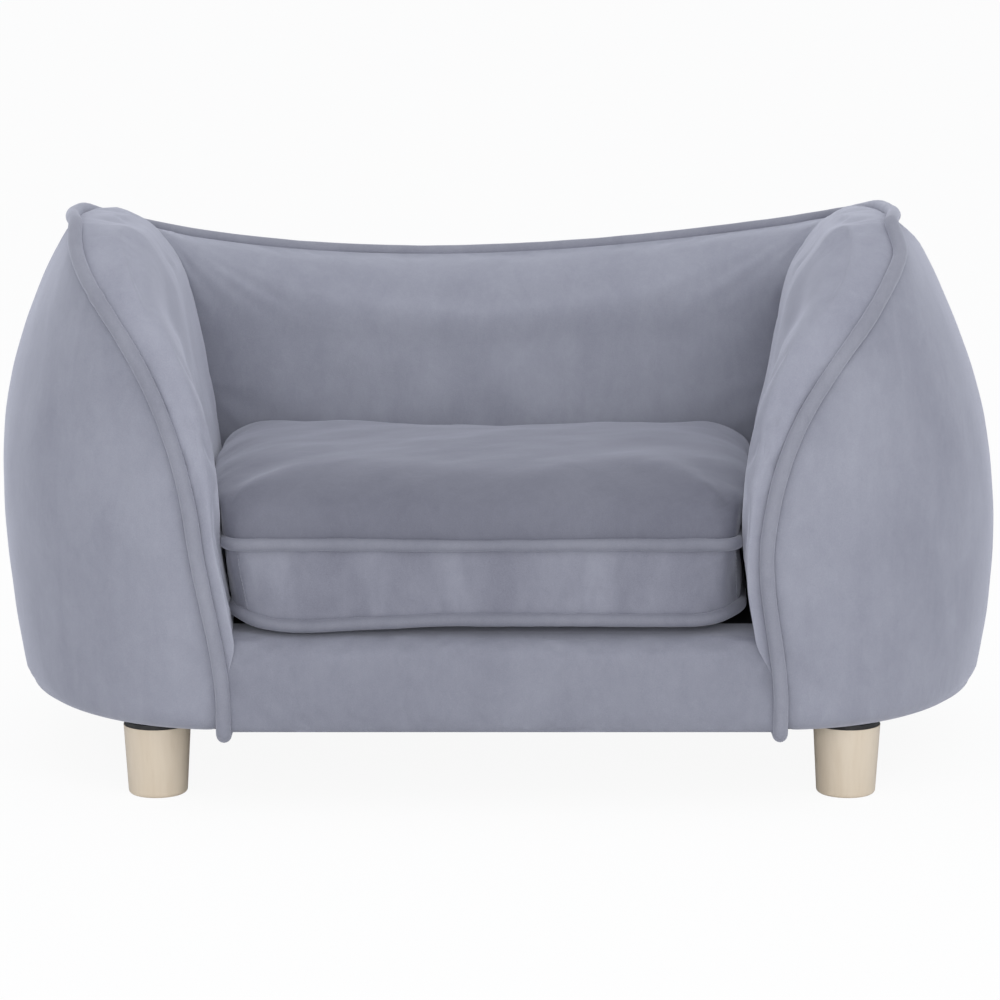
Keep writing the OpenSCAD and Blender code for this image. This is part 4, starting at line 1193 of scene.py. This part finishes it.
    def dress(self, grid: Array, core: Array, kind: str, word: str) -> None:
        """Store a pad's velvet and the foam between it and its board."""
        normal = grid_normals(grid)
        # the arm pads and the back pad wear lighter copies of the velvet: painted light
        finish = self.wardrobe.pad if kind == "arm" else self.wardrobe.rear
        velvet = Skin.slab(grid, grid - normal * self.cover_t)
        put(velvet, f"{kind}_velvet{word}", Body.SOFA, finish, [f"{kind}_cover{word}"])
        inside = grid - normal * (self.cover_t + self.glue)
        keep = (slice(2, -2), slice(4, None))
        if kind == "arm":
            low = self.tip_rows + self.foam_start
            keep = (slice(2, -low) if word == "_right" else slice(low, -2), slice(8, None))
            deep = ((inside - core) * normal).sum(-1, keepdims=True)
            most = np.minimum(self.foam_most, 1 + 0.05 * np.abs(inside[:, :1, 2:] - self.form.deck_h))
            core = inside - normal * np.clip(deep, 1.0, most)
        foam = Skin.slab(inside[keep], core[keep])
        finish, nodes = self.wardrobe.foam, [f"{kind}_foam{word}"]
        put(foam, f"{kind}_padding{word}", Body.SOFA, finish, nodes)

    def back(self) -> None:
        """Velvet and foam of the back pad."""
        grid = self.filled("back", self.back_grid())
        f = self.form
        flat = grid.copy()
        flat[..., 1] = np.maximum(f.board_y - f.gap, grid[..., 1] + 1)
        flat[..., 2] = np.minimum(flat[..., 2], grid[:, :1, 2] - f.edge_pad)
        self.dress(self.lean(grid), self.lean(flat), "back", "")

    def front(self) -> None:
        """The rolled front panel: a profile carried across between the two pipings."""
        f = self.form
        half = f.body.front_half - 2.5
        r = self.front_roll
        arc = np.radians(np.linspace(180, 90, 12))
        low = np.radians(np.linspace(270, 180, 6))
        rim = f.body.rim_h
        profile = np.concatenate(
            [
                np.stack([np.linspace(f.front_y + 16, f.front_y + 5, 4), np.full(4, rim - 0.8)], -1),
                np.stack([f.front_y + 4 + 4 * np.cos(low), rim + 3.2 + 4 * np.sin(low)], -1),
                np.stack([np.full(22, f.front_y), np.linspace(rim + 6, f.deck_h - r - 2, 22)], -1),
                np.stack([f.front_y + r + r * np.cos(arc), f.deck_h - r + r * np.sin(arc)], -1),
                np.stack([np.linspace(f.front_y + r + 4, f.front_y + 50, 8), np.full(8, f.deck_h)], -1),
            ]
        )
        x = np.linspace(-half, half, 150)
        grid = np.stack(np.broadcast_arrays(x[None, :], profile[:, :1], profile[:, 1:]), -1)
        held = held_edges(*grid.shape[:2])
        held[:6] = 1
        held[-8:] = 1
        grid = fill_grid(ClothRun(pressure=2.0, slack=0.006, bending=1.5, cap=2.6), "front", grid, held)
        soft = Ripple(31, 120.0)(grid) * 0.7 + Ripple(32, 40.0)(grid) * 0.2
        grid = self.lean(grid + grid_normals(grid) * (soft * (1 - held))[..., None])
        normal = grid_normals(grid)
        velvet = Skin.slab(grid, grid - normal * self.cover_t)
        # the front panel wears a darker copy of the velvet: painted shade
        put(velvet, "front_velvet", Body.SOFA, self.wardrobe.low, ["front_cover"])
        keep = (slice(5, -2), slice(2, -2))
        inside = (grid - normal * (self.cover_t + self.glue))[keep]
        core = inside.copy()
        core[..., 1] = np.maximum(f.front_y + self.front_back, inside[..., 1] + 0.5)
        core[..., 2] = np.minimum(core[..., 2], self.front_low)
        foam = Skin.slab(inside, core)
        put(foam, "front_padding", Body.SOFA, self.wardrobe.foam, ["front_foam"])

    def build(self) -> None:
        """All the pads."""
        self.arm(Side.LEFT)
        self.arm(Side.RIGHT)
        self.back()
        self.front()


@dataclass
class BodyPiping:
    """The corded welt along the body's edge, with its ends tucked under the front."""

    wardrobe: Wardrobe
    form: BodyForm = field(default_factory=BodyForm)
    lean: Lean = field(default_factory=Lean)
    radius: float = 4.7
    proud: float = 2.4
    tail: float = 22.0
    tail_drop: float = 2.6
    bend: float = 5.0
    sides: int = 18
    join_at: float = 330.0

    def half(self) -> tuple[Array, Array]:
        """Centre line and outward directions of the right half, from under the front to mid back."""
        runs = np.linspace(0.012, 1, 90)[:-1], np.linspace(1, 2, 82)[:-1], np.linspace(2, 3, 60)
        u = np.concatenate(runs)
        s = self.form.edge_place(u)
        out = self.form.plan_out(s)
        out = np.concatenate([out, np.zeros((len(u), 1))], -1)
        path = self.form.edge(u) + out * self.proud
        a = np.radians(np.linspace(0, 90, 7))[:-1]
        x, y = path[0, 0], path[0, 1]
        floor = self.form.rim_h - self.tail_drop
        back = np.linspace(self.tail, self.bend, 5)[:-1]
        under = np.stack([x + 0 * back, y + back, floor + 0 * back], -1)
        rise = self.bend * (1 - np.cos(a))
        turn = np.stack([x + 0 * a, y + self.bend * (1 - np.sin(a)), floor + rise], -1)
        down = np.array([0.0, 0.0, -1.0])
        turning = unit(out[:1] * np.sin(a)[:, None] + down * np.cos(a)[:, None])
        refs = np.concatenate([np.broadcast_to(down, under.shape), turning, out])
        return np.concatenate([under, turn, path]), refs

    def build(self) -> None:
        """The whole welt as one tube with a slightly uneven girth."""
        path, refs = self.half()
        path = np.concatenate([path, path[-2::-1] * MIRROR])
        refs = np.concatenate([refs, refs[-2::-1] * MIRROR])
        along = run_length(path)
        path = path + refs * (0.35 * Ripple(41, 60.0)(path))[:, None]
        join = np.exp(-((along - along[-1] + self.join_at) / 9.0) ** 2)
        girth = 1 + 0.022 * Ripple(42, 26.0)(path) + 0.12 * join * np.sin(along / 1.6)
        skin = Skin.tube(self.lean(path), refs, (self.radius * girth)[:, None], self.sides, False)
        # the welt wears a slightly darker copy of the velvet: painted shade
        put(skin, "body_welt", Body.SOFA, self.wardrobe.piping, ["body_piping"])


@dataclass
class Cushion:
    """The loose boxed cushion: crowned top, drawn-in band, flat bottom, two pipings, filling and zip."""

    wardrobe: Wardrobe
    faces: dict[Side, Array]
    lean: Lean = field(default_factory=Lean)
    half_x: float = 174.0
    half_y: float = 157.0
    taper: float = 0.0573
    mid_y: float = -32.0
    low: float = 121.0
    high: float = 171.0
    shift: float = -4.6
    top_r: float = 14.0
    low_r: float = 38.0
    crown: float = 45.5
    brim: float = 60.0
    brim_drop: float = 2.0
    swell_t: float = 0.15
    roll_t: float = 0.5
    flat_h: float = 112.6
    side_swell: tuple[float, float] = (13.0, 30.0)
    end_swell: tuple[float, float] = (5.0, 20.0)
    corner_at: tuple[float, float] = (162.0, -187.0)
    corner_rise: float = 12.0
    rear_rise: float = 32.0
    rear_fall: float = 4.5
    corner_fall: float = 9.0
    calm_passes: int = 10
    wall_room: float = 0.5
    pipe_r: float = 4.2
    rim_inset: float = 4.5
    zip_half: float = 152.0
    zip_depth: float = 2.5
    zip_length: float = 290.0
    zip_teeth: int = 180
    upright_x: float = 160.0
    stitch_x: tuple[float, float] = (-168.0, 152.0)
    cover_t: float = 1.6
    cols: int = 84
    rows: int = 76
    band_rows: int = 15
    run: ClothRun = field(default_factory=lambda: ClothRun(pressure=2.5, slack=0.004, bending=1.5, cap=3.0))

    def shares(self) -> tuple[Array, Array, Array]:
        """Grid coordinates a and b from -1 to 1, and m, the larger of the two in size."""
        a = np.linspace(-1, 1, self.cols)[None, :] * np.ones((self.rows, 1))
        b = np.linspace(-1, 1, self.rows)[:, None] * np.ones((1, self.cols))
        return a, b, np.maximum(np.abs(a), np.abs(b))

    def outline(self, radius: float) -> Array:
        """The rounded, tapered outline's point in each grid point's own direction."""
        a, b, m = self.shares()
        half = np.array([self.half_x, self.half_y])
        q = np.stack([a, b], -1) / np.maximum(m, 1e-6)[..., None] * half
        c = half - radius
        qa = np.abs(q)
        qq, qc, cc = (qa * qa).sum(-1), (qa * c).sum(-1), (c * c).sum(-1)
        inside = np.clip(qc * qc - qq * (cc - radius**2), 0, None)
        near = (qa > half - radius).all(-1)
        scale = np.where(near, (qc + np.sqrt(inside)) / qq, 1.0)
        p = q * (1 - (1 - scale) * m**2)[..., None]
        p[..., 0] *= 1 + self.taper * p[..., 1] / self.half_y
        return p

    def spread(self, radius: float) -> Array:
        """A flat grid over the outline: each point lies its share m of the way out from the middle."""
        return self.outline(radius) * self.shares()[2][..., None]

    def crowned(self) -> Array:
        """The top panel: it swells out over its piping, rolls over at the brim and runs nearly flat.

        For t, the share of the way in from the seam, and k its share of swell_t, it goes out
        B(1 - (1 - k)^2) and up H k; then, to roll_t, along a quarter ellipse to the brim; then flat.
        B and H are the swell of the nearest side, and fade towards the corners as 1 - along^4.
        """
        a, b, m = self.shares()
        q = self.outline(self.top_r)
        reach = np.linalg.norm(q, axis=-1)
        t = 1 - m
        along = np.minimum(np.abs(a), np.abs(b)) / np.maximum(m, 1e-6)
        sideways = ease(((np.abs(a) - np.abs(b)) / np.maximum(m, 1e-6) + 0.1) / 0.2)
        fade = 1 - along ** mix(4.0, 12.0, ease(b / 0.5))
        swell, rise = (mix(e, s, sideways) for e, s in zip(self.end_swell, self.side_swell))
        swell, rise = swell * fade, mix(mix(self.corner_rise, self.rear_rise, ease(b / 0.5)), rise, fade)
        k = np.clip(t / self.swell_t, 0, 1)
        angle = np.clip((t - self.swell_t) / (self.roll_t - self.swell_t), 0, 1) * np.pi / 2
        brim = self.crown - self.brim_drop
        roll = self.brim * mix(1.0, mix(1.0, 0.5, ease(b / 0.5)), 1 - fade)
        swelling = t < self.swell_t
        out = np.where(swelling, swell * (1 - (1 - k) ** 2), (roll + swell) * np.cos(angle) - roll)
        up = np.where(swelling, rise * k, rise + (brim - rise) * np.sin(angle))
        inner = np.clip((t - self.roll_t) / (1 - self.roll_t), 0, 1)
        far = (reach + out) * (1 - inner)
        plan = q / np.maximum(reach, 1e-6)[..., None] * far[..., None]
        fall = (self.rear_fall + self.corner_fall * a**6) * ease(b / 0.6) * ease(t / self.swell_t)
        up = up + self.brim_drop * ease(inner) - fall
        return np.concatenate([plan, (self.high + up)[..., None]], -1)

    def rim(self) -> Array:
        """Grid indices of the outline, anticlockwise from above, starting at the front left."""
        index = np.arange(self.rows * self.cols).reshape(self.rows, self.cols)
        return np.concatenate([index[0, :-1], index[:-1, -1], index[-1, :0:-1], index[:0:-1, 0]])

    def slump(self, p: Array) -> Array:
        """Rise and fall of the bottom seam where the filling has shifted, as on the photographed front."""
        x, y = p[..., 0], p[..., 1]
        front = ease((-y - 60) / 80)
        ends = np.exp(-((np.abs(x) - 165) / 16) ** 2)
        dip, hump = np.exp(-((x + 112) / 42) ** 2), np.exp(-((x - 30) / 70) ** 2)
        return front * (4.5 * ends - 2.6 * dip + 1.2 * hump)

    def by_zip(self, p: Array) -> Array:
        """Which points lie along the straight of the back, where the zip is."""
        return (p[..., 1] > self.mid_y + self.half_y - self.zip_depth) & (np.abs(p[..., 0]) < self.zip_half)

    def at_front(self, p: Array) -> Array:
        """Which points lie on the cushion's front side."""
        return p[..., 1] < self.mid_y - self.half_y * 0.8

    def start(self) -> tuple[Skin, Array]:
        """The cover before filling, and the pin weight of each point."""
        n = self.rows * self.cols
        top, low2 = self.crowned(), self.spread(self.low_r)
        x = np.linspace(-1, 1, self.cols)[None, :]
        y = np.linspace(-1, 1, self.rows)[:, None]
        sag = (self.flat_h - self.low) * (1 - np.abs(x) ** 10) * (1 - np.abs(y) ** 10)
        low = np.concatenate([low2, (self.low + sag)[..., None]], -1)
        low[..., 2] += self.slump(low)
        ring = self.rim()
        a, b = top.reshape(-1, 3)[ring], low.reshape(-1, 3)[ring]
        v = np.linspace(0, 1, self.band_rows)[1:-1, None, None]
        band = mix(a[None], b[None], v)
        skin = np.concatenate([top.reshape(-1, 3), low.reshape(-1, 3), band.reshape(-1, 3)])
        skin[:, 0] += self.shift * (1 - np.clip((skin[:, 2] - self.low) / (self.high - self.low), 0, 1))
        skin[:, 1] += self.mid_y
        loops = np.concatenate([[ring], 2 * n + np.arange(band.size // 3).reshape(len(v), -1), [ring + n]])
        loops = np.concatenate([loops, loops[:, :1]], 1)
        wall = np.stack([loops[1:, :-1], loops[1:, 1:], loops[:-1, 1:], loops[:-1, :-1]], -1).reshape(-1, 4)
        faces = Skin.grid_quads(self.rows, self.cols)
        quads = np.concatenate([faces, faces[:, ::-1] + n, wall])
        held = np.zeros(len(skin))
        held[n : 2 * n] = 1
        held[ring] = 1
        held[self.by_zip(skin)] = 1
        return Skin(skin, quads), held

    def wedged(self, grid: Array) -> Array:
        """The cushion held between the arm pads: no point comes nearer than the room to their faces."""
        points = grid.reshape(-1, 3).copy()
        for side, face in self.faces.items():
            wall = face[:, face.shape[1] // 3 :].reshape(-1, 3)
            gap = ((points[:, None, 1:] - wall[None, ::2, 1:]) ** 2).sum(-1)
            limit = np.abs(wall[::2][np.argmin(gap, 1), 0]) - self.wall_room
            reach = points[:, 0] * side.value
            over = np.clip(reach - limit + 2.0, 0, None)
            points[:, 0] -= side.value * over**2 / (over + 2.0)
        return points.reshape(grid.shape)

    def creases(self, grid: Array) -> Array:
        """Shallow folds that fan out over the top from its front corners."""
        total = np.zeros(grid.shape[:2])
        corner_x, corner_y = self.corner_at
        for x, count, deep in ((-corner_x, 7, 1.5), (corner_x, 8, 1.9)):
            dx, dy = grid[..., 0] - x, grid[..., 1] - corner_y
            away, angle = np.hypot(dx, dy), np.arctan2(dy, dx * -np.sign(x))
            fan = np.sin(count * angle + 0.7 + 0.012 * away)
            total += deep * fan * np.exp(-away / 34) * ease(away / 14)
        return total

    def band_relief(self, grid: Array) -> Array:
        """Soft puckers of the band, and a groove at the upright seam by each front corner."""
        upright = np.linspace(0, 1, grid.shape[0])[:, None]
        wave = Ripple(52, 24.0)(grid * np.array([1.0, 1.0, 0.45])) * 0.55 + Ripple(53, 60.0)(grid) * 0.6
        from_seam = np.abs(grid[..., 0]) - self.upright_x
        groove = -1.5 * np.exp(-(from_seam / 1.7) ** 2) * self.at_front(grid)
        return wave * np.sin(np.pi * upright) ** 0.6 + groove * np.sin(np.pi * upright) ** 0.3

    def build(self) -> None:
        """Fill the cover, cut it into its panels and add the pipings, filling and zip."""
        skin, held = self.start()
        skin.points = self.run.fill("cushion", skin, held)
        n, ring = self.rows * self.cols, self.rim()
        p = skin.points
        top = p[:n].reshape(self.rows, self.cols, 3)
        low = p[n : 2 * n].reshape(self.rows, self.cols, 3)
        inner = held_edges(self.rows, self.cols) < 1
        for _ in range(self.calm_passes):
            near = top[:-2, 1:-1] + top[2:, 1:-1] + top[1:-1, :-2] + top[1:-1, 2:]
            top[1:-1, 1:-1] = (4 * top[1:-1, 1:-1] + near) / 8
        relief = (self.creases(top) + Ripple(51, 70.0)(top) * 0.7 + Ripple(54, 27.0)(top) * 0.25) * inner
        top = top + grid_normals(top) * relief[..., None]
        between = p[2 * n :].reshape(self.band_rows - 2, -1, 3)[::-1]
        band = np.concatenate([p[None, ring + n], between, p[None, ring]])
        band = np.concatenate([band, band[:, :1]], 1)
        normal = grid_normals(band)
        normal[:, 0] = normal[:, -1] = unit(normal[:, 0] + normal[:, -1])
        off_zip = band[..., 1] < self.mid_y + self.half_y - 3
        band = band + normal * (self.band_relief(band) * off_zip)[..., None]
        top, low, band = (self.wedged(self.lean(grid)) for grid in (top, low, band))
        w = self.wardrobe
        # the top panel wears the darkest copy of the velvet: painted shade
        self.panel("cushion_top", top, w.shaded)
        self.panel("cushion_bottom", low[:, ::-1], w.velvet)
        self.bands(band)
        self.pipings(top.reshape(-1, 3)[ring], low.reshape(-1, 3)[ring])
        self.filling(top, low, band)
        self.stitches(band)
        self.zip_coil()

    def panel(self, name: str, grid: Array, finish: Material) -> None:
        """A panel of velvet with its thickness."""
        velvet = Skin.slab(grid, grid - grid_normals(grid) * self.cover_t)
        put(velvet, f"{name}_velvet", Body.CUSHION, finish, [f"{name}_panel"])

    def bands(self, band: Array) -> None:
        """The side band, and the zip band along the straight of the back."""
        back = self.by_zip(band[0, :-1])
        turn = int(np.flatnonzero(back)[-1]) + 1
        rolled = np.roll(band[:, :-1], -turn, axis=1)
        count = int(back.sum())
        closing = np.concatenate([rolled, rolled[:, :1]], 1)
        normal = grid_normals(closing)
        cut = closing.shape[1] - 1 - count
        for name, part in (("side_band", slice(0, cut + 1)), ("zip_band", slice(cut, None))):
            grid, out = closing[:, part], normal[:, part]
            # the bands wear a darker copy of the velvet: painted shade
            velvet, finish = Skin.slab(grid, grid - out * self.cover_t), self.wardrobe.band
            put(velvet, f"cushion_{name}_velvet", Body.CUSHION, finish, [f"cushion_{name}"])

    def pipings(self, top: Array, low: Array) -> None:
        """The two corded edges, set a little outside the seams."""
        for name, loop, seed in (("top", top, 61), ("bottom", low, 62)):
            dense = self.round_loop(loop, 620)
            along = unit(np.roll(dense, -1, 0) - np.roll(dense, 1, 0))
            out = unit(np.stack([along[:, 1], -along[:, 0], 0 * along[:, 0]], -1))
            path = dense + out * 1.0
            path[:, 2] += 0.35 * Ripple(seed, 55.0)(path)
            girth = self.pipe_r * (1 + 0.03 * Ripple(seed + 5, 22.0)(path))
            up = np.broadcast_to(np.array([0.0, 0.0, 1.0]), path.shape)
            skin = Skin.tube(path, up, girth[:, None], 16, True)
            # the pipings wear a darker copy of the velvet: painted shade
            finish, nodes = self.wardrobe.shaded_edging, [f"cushion_{name}_piping"]
            put(skin, f"cushion_{name}_welt", Body.CUSHION, finish, nodes)

    @staticmethod
    def round_loop(loop: Array, count: int) -> Array:
        """A closed loop resampled evenly along its length and lightly smoothed."""
        closed = np.concatenate([loop, loop[:1]])
        length = run_length(closed)
        at = np.linspace(0, length[-1], count, endpoint=False)
        dense = np.stack([np.interp(at, length, closed[:, i]) for i in range(3)], -1)
        for _ in range(6):
            dense = (np.roll(dense, 1, 0) + 2 * dense + np.roll(dense, -1, 0)) / 4
        return dense

    def filling(self, top: Array, low: Array, band: Array) -> None:
        """The cushion's foam: the same closed form, a cover's thickness and a gap further in."""
        n, ring = self.rows * self.cols, self.rim()
        inset = self.cover_t + 0.4
        upper = top - grid_normals(top) * inset
        lower = low + np.array([0, 0, inset])
        walls = band[1:-1, :-1] - grid_normals(band)[1:-1, :-1] * inset
        centre = np.array([0.0, self.mid_y, 0.0])
        for edge in (upper.reshape(-1, 3), lower.reshape(-1, 3)):
            rim = edge[ring] - centre
            reach = np.linalg.norm(rim[:, :2], axis=-1, keepdims=True)
            rim[:, :2] *= 1 - self.rim_inset / np.maximum(reach, 1)
            edge[ring] = rim + centre
        points = np.concatenate([upper.reshape(-1, 3), lower.reshape(-1, 3), walls.reshape(-1, 3)])
        between = 2 * n + np.arange(walls[..., 0].size).reshape(walls.shape[:2])
        loops = np.concatenate([[ring + n], between, [ring]])
        loops = np.concatenate([loops, loops[:, :1]], 1)
        wall = np.stack([loops[:-1, :-1], loops[:-1, 1:], loops[1:, 1:], loops[1:, :-1]], -1).reshape(-1, 4)
        faces = Skin.grid_quads(self.rows, self.cols)
        skin = Skin(points, np.concatenate([faces, faces[:, ::-1] + n, wall]))
        put(skin, "cushion_foam", Body.CUSHION, self.wardrobe.foam, ["cushion_filling"])

    def stitches(self, band: Array) -> None:
        """A row of thread stitches up the seam by each front corner."""
        normal = grid_normals(band)
        middle = band[band.shape[0] // 2]
        pieces = []
        for x in self.stitch_x:
            col = int(np.argmin(np.abs(middle[:, 0] - x) + 1e3 * ~self.at_front(middle)))
            line, out = band[1:-1, col], normal[1:-1, col]
            at = np.linspace(0.06, 0.94, 15)
            place = np.linspace(0, 1, len(line))
            mid = np.stack([np.interp(at, place, line[:, i]) for i in range(3)], -1)
            face = np.stack([np.interp(at, place, out[:, i]) for i in range(3)], -1)
            a = np.linspace(-1, 1, 7)[None, :, None]
            path = mid[:, None] + np.array([0, 0, 1.15]) * a + face[:, None] * (0.25 - 0.45 * a**2)
            refs = np.broadcast_to(face[:, None], path.shape)
            pieces += [Skin.tube(q, r, np.full((7, 1), 0.27), 6, False) for q, r in zip(path, refs)]
        offset = np.cumsum([0] + [len(s.points) for s in pieces[:-1]])
        quads = np.concatenate([s.quads + o for s, o in zip(pieces, offset)])
        skin = Skin(np.concatenate([s.points for s in pieces]), quads)
        # the stitches wear the piping's darker copy of the velvet: painted shade
        put(skin, "cushion_stitches", Body.CUSHION, self.wardrobe.piping)

    def zip_coil(self) -> None:
        """The zip's coil: two rows of small loops that mesh along the middle."""
        z, y = (self.low + self.high) / 2, self.mid_y + self.half_y - 1.0
        count, end = self.zip_teeth, self.zip_length / 2 - 2
        x = np.linspace(-end, end, count)
        a = np.linspace(0, 2 * np.pi, 8, endpoint=False)
        ring = np.stack([np.zeros(8), 0.75 + 0.7 * np.sin(a), 1.5 * np.cos(a)], -1)
        side = np.where(np.arange(count) % 2, 0.8, -0.8)
        rows = []
        for dx, grow in ((-0.55, 0.55), (-0.35, 1.0), (0.35, 1.0), (0.55, 0.55)):
            centre = np.stack([x + dx, np.full(count, y), z + side], -1)
            rows.append(centre[:, None] + ring[None] * np.array([1.0, grow, grow]))
        cells = np.stack(rows, 1)
        near = np.array([[0, 7, 6, 5], [0, 5, 4, 3], [0, 3, 2, 1]])
        far = np.array([[24, 25, 26, 27], [24, 27, 28, 29], [24, 29, 30, 31]])
        quads = copies(Skin.grid_quads(4, 8, wrap=True), 32, count)
        caps = copies(np.concatenate([near, far]), 32, count)
        coil = Skin(cells.reshape(-1, 3), np.concatenate([quads, caps]))
        put(coil, "zip_coil", Body.CUSHION, self.wardrobe.nylon, ["zip_chain"])


@dataclass
class Underside:
    """Staples round the black cloth under the base."""

    wardrobe: Wardrobe
    form: BodyForm = field(default_factory=BodyForm)
    depth: float = 19.0
    drop: float = 1.5
    count: int = 72
    half_l: float = 5.0
    half_t: float = 0.35
    proud: float = 0.45

    def build(self) -> None:
        """One piece of all the staples: a low flat bridge each, along the cloth's edge."""
        share = np.linspace(0.12, 2.9, self.count // 2)
        z = np.full_like(share, self.form.rim_h - self.drop)
        right = self.form.shell(share, z, self.depth)
        step = np.gradient(right, axis=0)
        path = np.concatenate([right, right * MIRROR])
        along = unit(np.concatenate([step, step * MIRROR]))
        across = np.stack([-along[:, 1], along[:, 0], 0 * along[:, 0]], -1)
        square = ((-1, -1), (1, -1), (1, 1), (-1, 1))
        corner = np.array([[i, j, k] for k in (0, 1) for i, j in square], float)
        box = (
            path[:, None]
            + along[:, None] * corner[None, :, :1] * self.half_l
            + across[:, None] * corner[None, :, 1:2] * self.half_t
            + np.array([0, 0, -self.proud]) * corner[None, :, 2:]
        )
        ends = [[0, 1, 2, 3], [7, 6, 5, 4]]
        walls = [[0, 4, 5, 1], [1, 5, 6, 2], [2, 6, 7, 3], [3, 7, 4, 0]]
        skin = Skin(box.reshape(-1, 3), copies(np.array(ends + walls), 8, len(path)))
        put(skin, "cloth_staples", Body.SOFA, self.wardrobe.steel)


@dataclass
class KeptNodes:
    """Finishes of the CAD nodes whose own shape shows."""

    wardrobe: Wardrobe

    def finishes(self) -> dict[str, Material]:
        """Node name to material."""
        w = self.wardrobe
        groups = (
            (w.flat_ply, ("base_board", "seat_board", "arm_rail_left", "arm_rail_right")),
            (w.side_ply, ("arm_board_left", "arm_board_right", "back_posts", "seat_bearers")),
            (w.cross_ply, ("front_rail", "rear_rail", "back_top_rail", "arm_ribs_left", "arm_ribs_right")),
            (w.hardboard, ("back_board", "shell_board_left", "shell_board_right", "shell_board_back")),
            (w.foam, ("deck_foam",)),
            (w.cloth, ("deck_cloth", "dust_cover")),
            (w.steel, ("tee_nuts", "zip_slider")),
        )
        table = {name: material for material, names in groups for name in names}
        for leg in LEG_PLACES:
            table |= {f"leg_{leg}": w.beech, f"leg_bolt_{leg}": w.steel, f"leg_washer_{leg}": w.rubber}
        return table

    def build(self, nodes: dict[str, bpy.types.Object]) -> None:
        """Put each material on its node."""
        for name, material in self.finishes().items():
            slots = nodes[name].data.materials
            if len(slots) == 0:
                slots.append(material)
            for i in range(len(slots)):
                slots[i] = material
            log.info("%s: %s", name, material.name)


@dataclass
class Studio:
    """A pale floor, soft lamps and the photograph's camera."""

    lens: float = 115.09
    pitch: float = 9.57
    eye: Colour = (-0.0013, -2.205, 0.540)
    sky: Colour = (0.93, 0.95, 1.0)
    sky_strength: float = 0.70
    key: float = 14.0
    fill: float = 30.0
    top: float = 9.0
    floor_reach: float = 60000.0
    floor_white: float = 0.93

    def floor(self) -> None:
        """A wide white floor that shows white to the camera but keeps a soft shadow."""
        corners = np.array([[-1, -1, 0], [1, -1, 0], [1, 1, 0], [-1, 1, 0]]) * self.floor_reach
        plane = Skin(corners, np.array([[0, 1, 2, 3]])).build("floor")
        p = Paint("floor_white")
        pale = p.blend((0.92, 0.92, 0.92), (0.94, 0.94, 0.94), p.noise(0.6, 2.0))
        matt = p.node("ShaderNodeBsdfDiffuse", {}, {"Color": pale})
        glow = p.node("ShaderNodeEmission", {}, {"Color": (1.0, 1.0, 1.0, 1.0), "Strength": 1.0})
        seen = p.node("ShaderNodeLightPath", {}, {}, "Is Camera Ray")
        p.node_output(p.node("ShaderNodeMixShader", {}, {0: seen * self.floor_white, 1: matt, 2: glow}))
        plane.data.materials.append(p.material)

    def world(self) -> None:
        """Even grey light, with white behind the object for what looks straight at it."""
        world = bpy.data.worlds.new("studio")
        world.use_nodes = True
        g = Graph(world.node_tree)
        kinds = ("Camera", "Glossy", "Transmission")
        rays = [g.node("ShaderNodeLightPath", {}, {}, f"Is {kind} Ray") for kind in kinds]
        light = {"Color": (*self.sky, 1.0), "Strength": self.sky_strength}
        soft = g.node("ShaderNodeBackground", {}, light)
        white = g.node("ShaderNodeBackground", {}, {"Color": (1.0, 1.0, 1.0, 1.0), "Strength": 1.0})
        seen = rays[0].most(rays[1]).most(rays[2])
        both = g.node("ShaderNodeMixShader", {}, {0: seen, 1: soft, 2: white})
        g.node("ShaderNodeOutputWorld", {}, {"Surface": both})
        bpy.context.scene.world = world

    def lamp(self, name: str, place: Colour, aim: Colour, size: float, watts: float) -> None:
        """A square area lamp turned towards a point."""
        data = bpy.data.lights.new(name, "AREA")
        data.size = size
        data.energy = watts
        lamp = bpy.data.objects.new(name, data)
        lamp.location = place
        lamp.rotation_euler = (Vector(aim) - Vector(place)).to_track_quat("-Z", "Y").to_euler()
        bpy.context.scene.collection.objects.link(lamp)

    def camera(self) -> None:
        """The photograph's viewpoint: level with the back's top, looking slightly down."""
        data = bpy.data.cameras.new("camera")
        data.lens = self.lens
        data.sensor_width = 36.0
        data.sensor_fit = "HORIZONTAL"
        data.clip_end = 200.0
        camera = bpy.data.objects.new("camera", data)
        camera.location = self.eye
        camera.rotation_euler = (np.radians(90 - self.pitch), 0.0, 0.0)
        bpy.context.scene.collection.objects.link(camera)
        bpy.context.scene.camera = camera

    def build(self) -> None:
        """Floor, world, lamps and camera."""
        self.floor()
        self.world()
        self.lamp("key", (1.5, -2.1, 2.3), (0.0, 0.0, 0.2), 1.6, self.key)
        self.lamp("fill", (-0.2, -3.2, 0.8), (0.0, 0.0, 0.2), 1.8, self.fill)
        self.lamp("top", (-0.2, 0.2, 2.6), (0.0, 0.0, 0.2), 1.8, self.top)
        bpy.context.scene.view_settings.view_transform = "Standard"
        self.camera()


def main() -> None:
    """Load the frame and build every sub-assembly."""
    logging.basicConfig(level=logging.INFO, format="%(name)s %(message)s")
    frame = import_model()
    wardrobe = Wardrobe()
    KeptNodes(wardrobe).build(frame["nodes"])
    pads = SeatPads(wardrobe)
    cushion = Cushion(wardrobe, faces=pads.faces)
    for part in (Shell(wardrobe), pads, BodyPiping(wardrobe), cushion, Underside(wardrobe)):
        part.build()
        log.info("%s built", type(part).__name__)
    Studio().build()


if __name__ == "__main__":
    main()
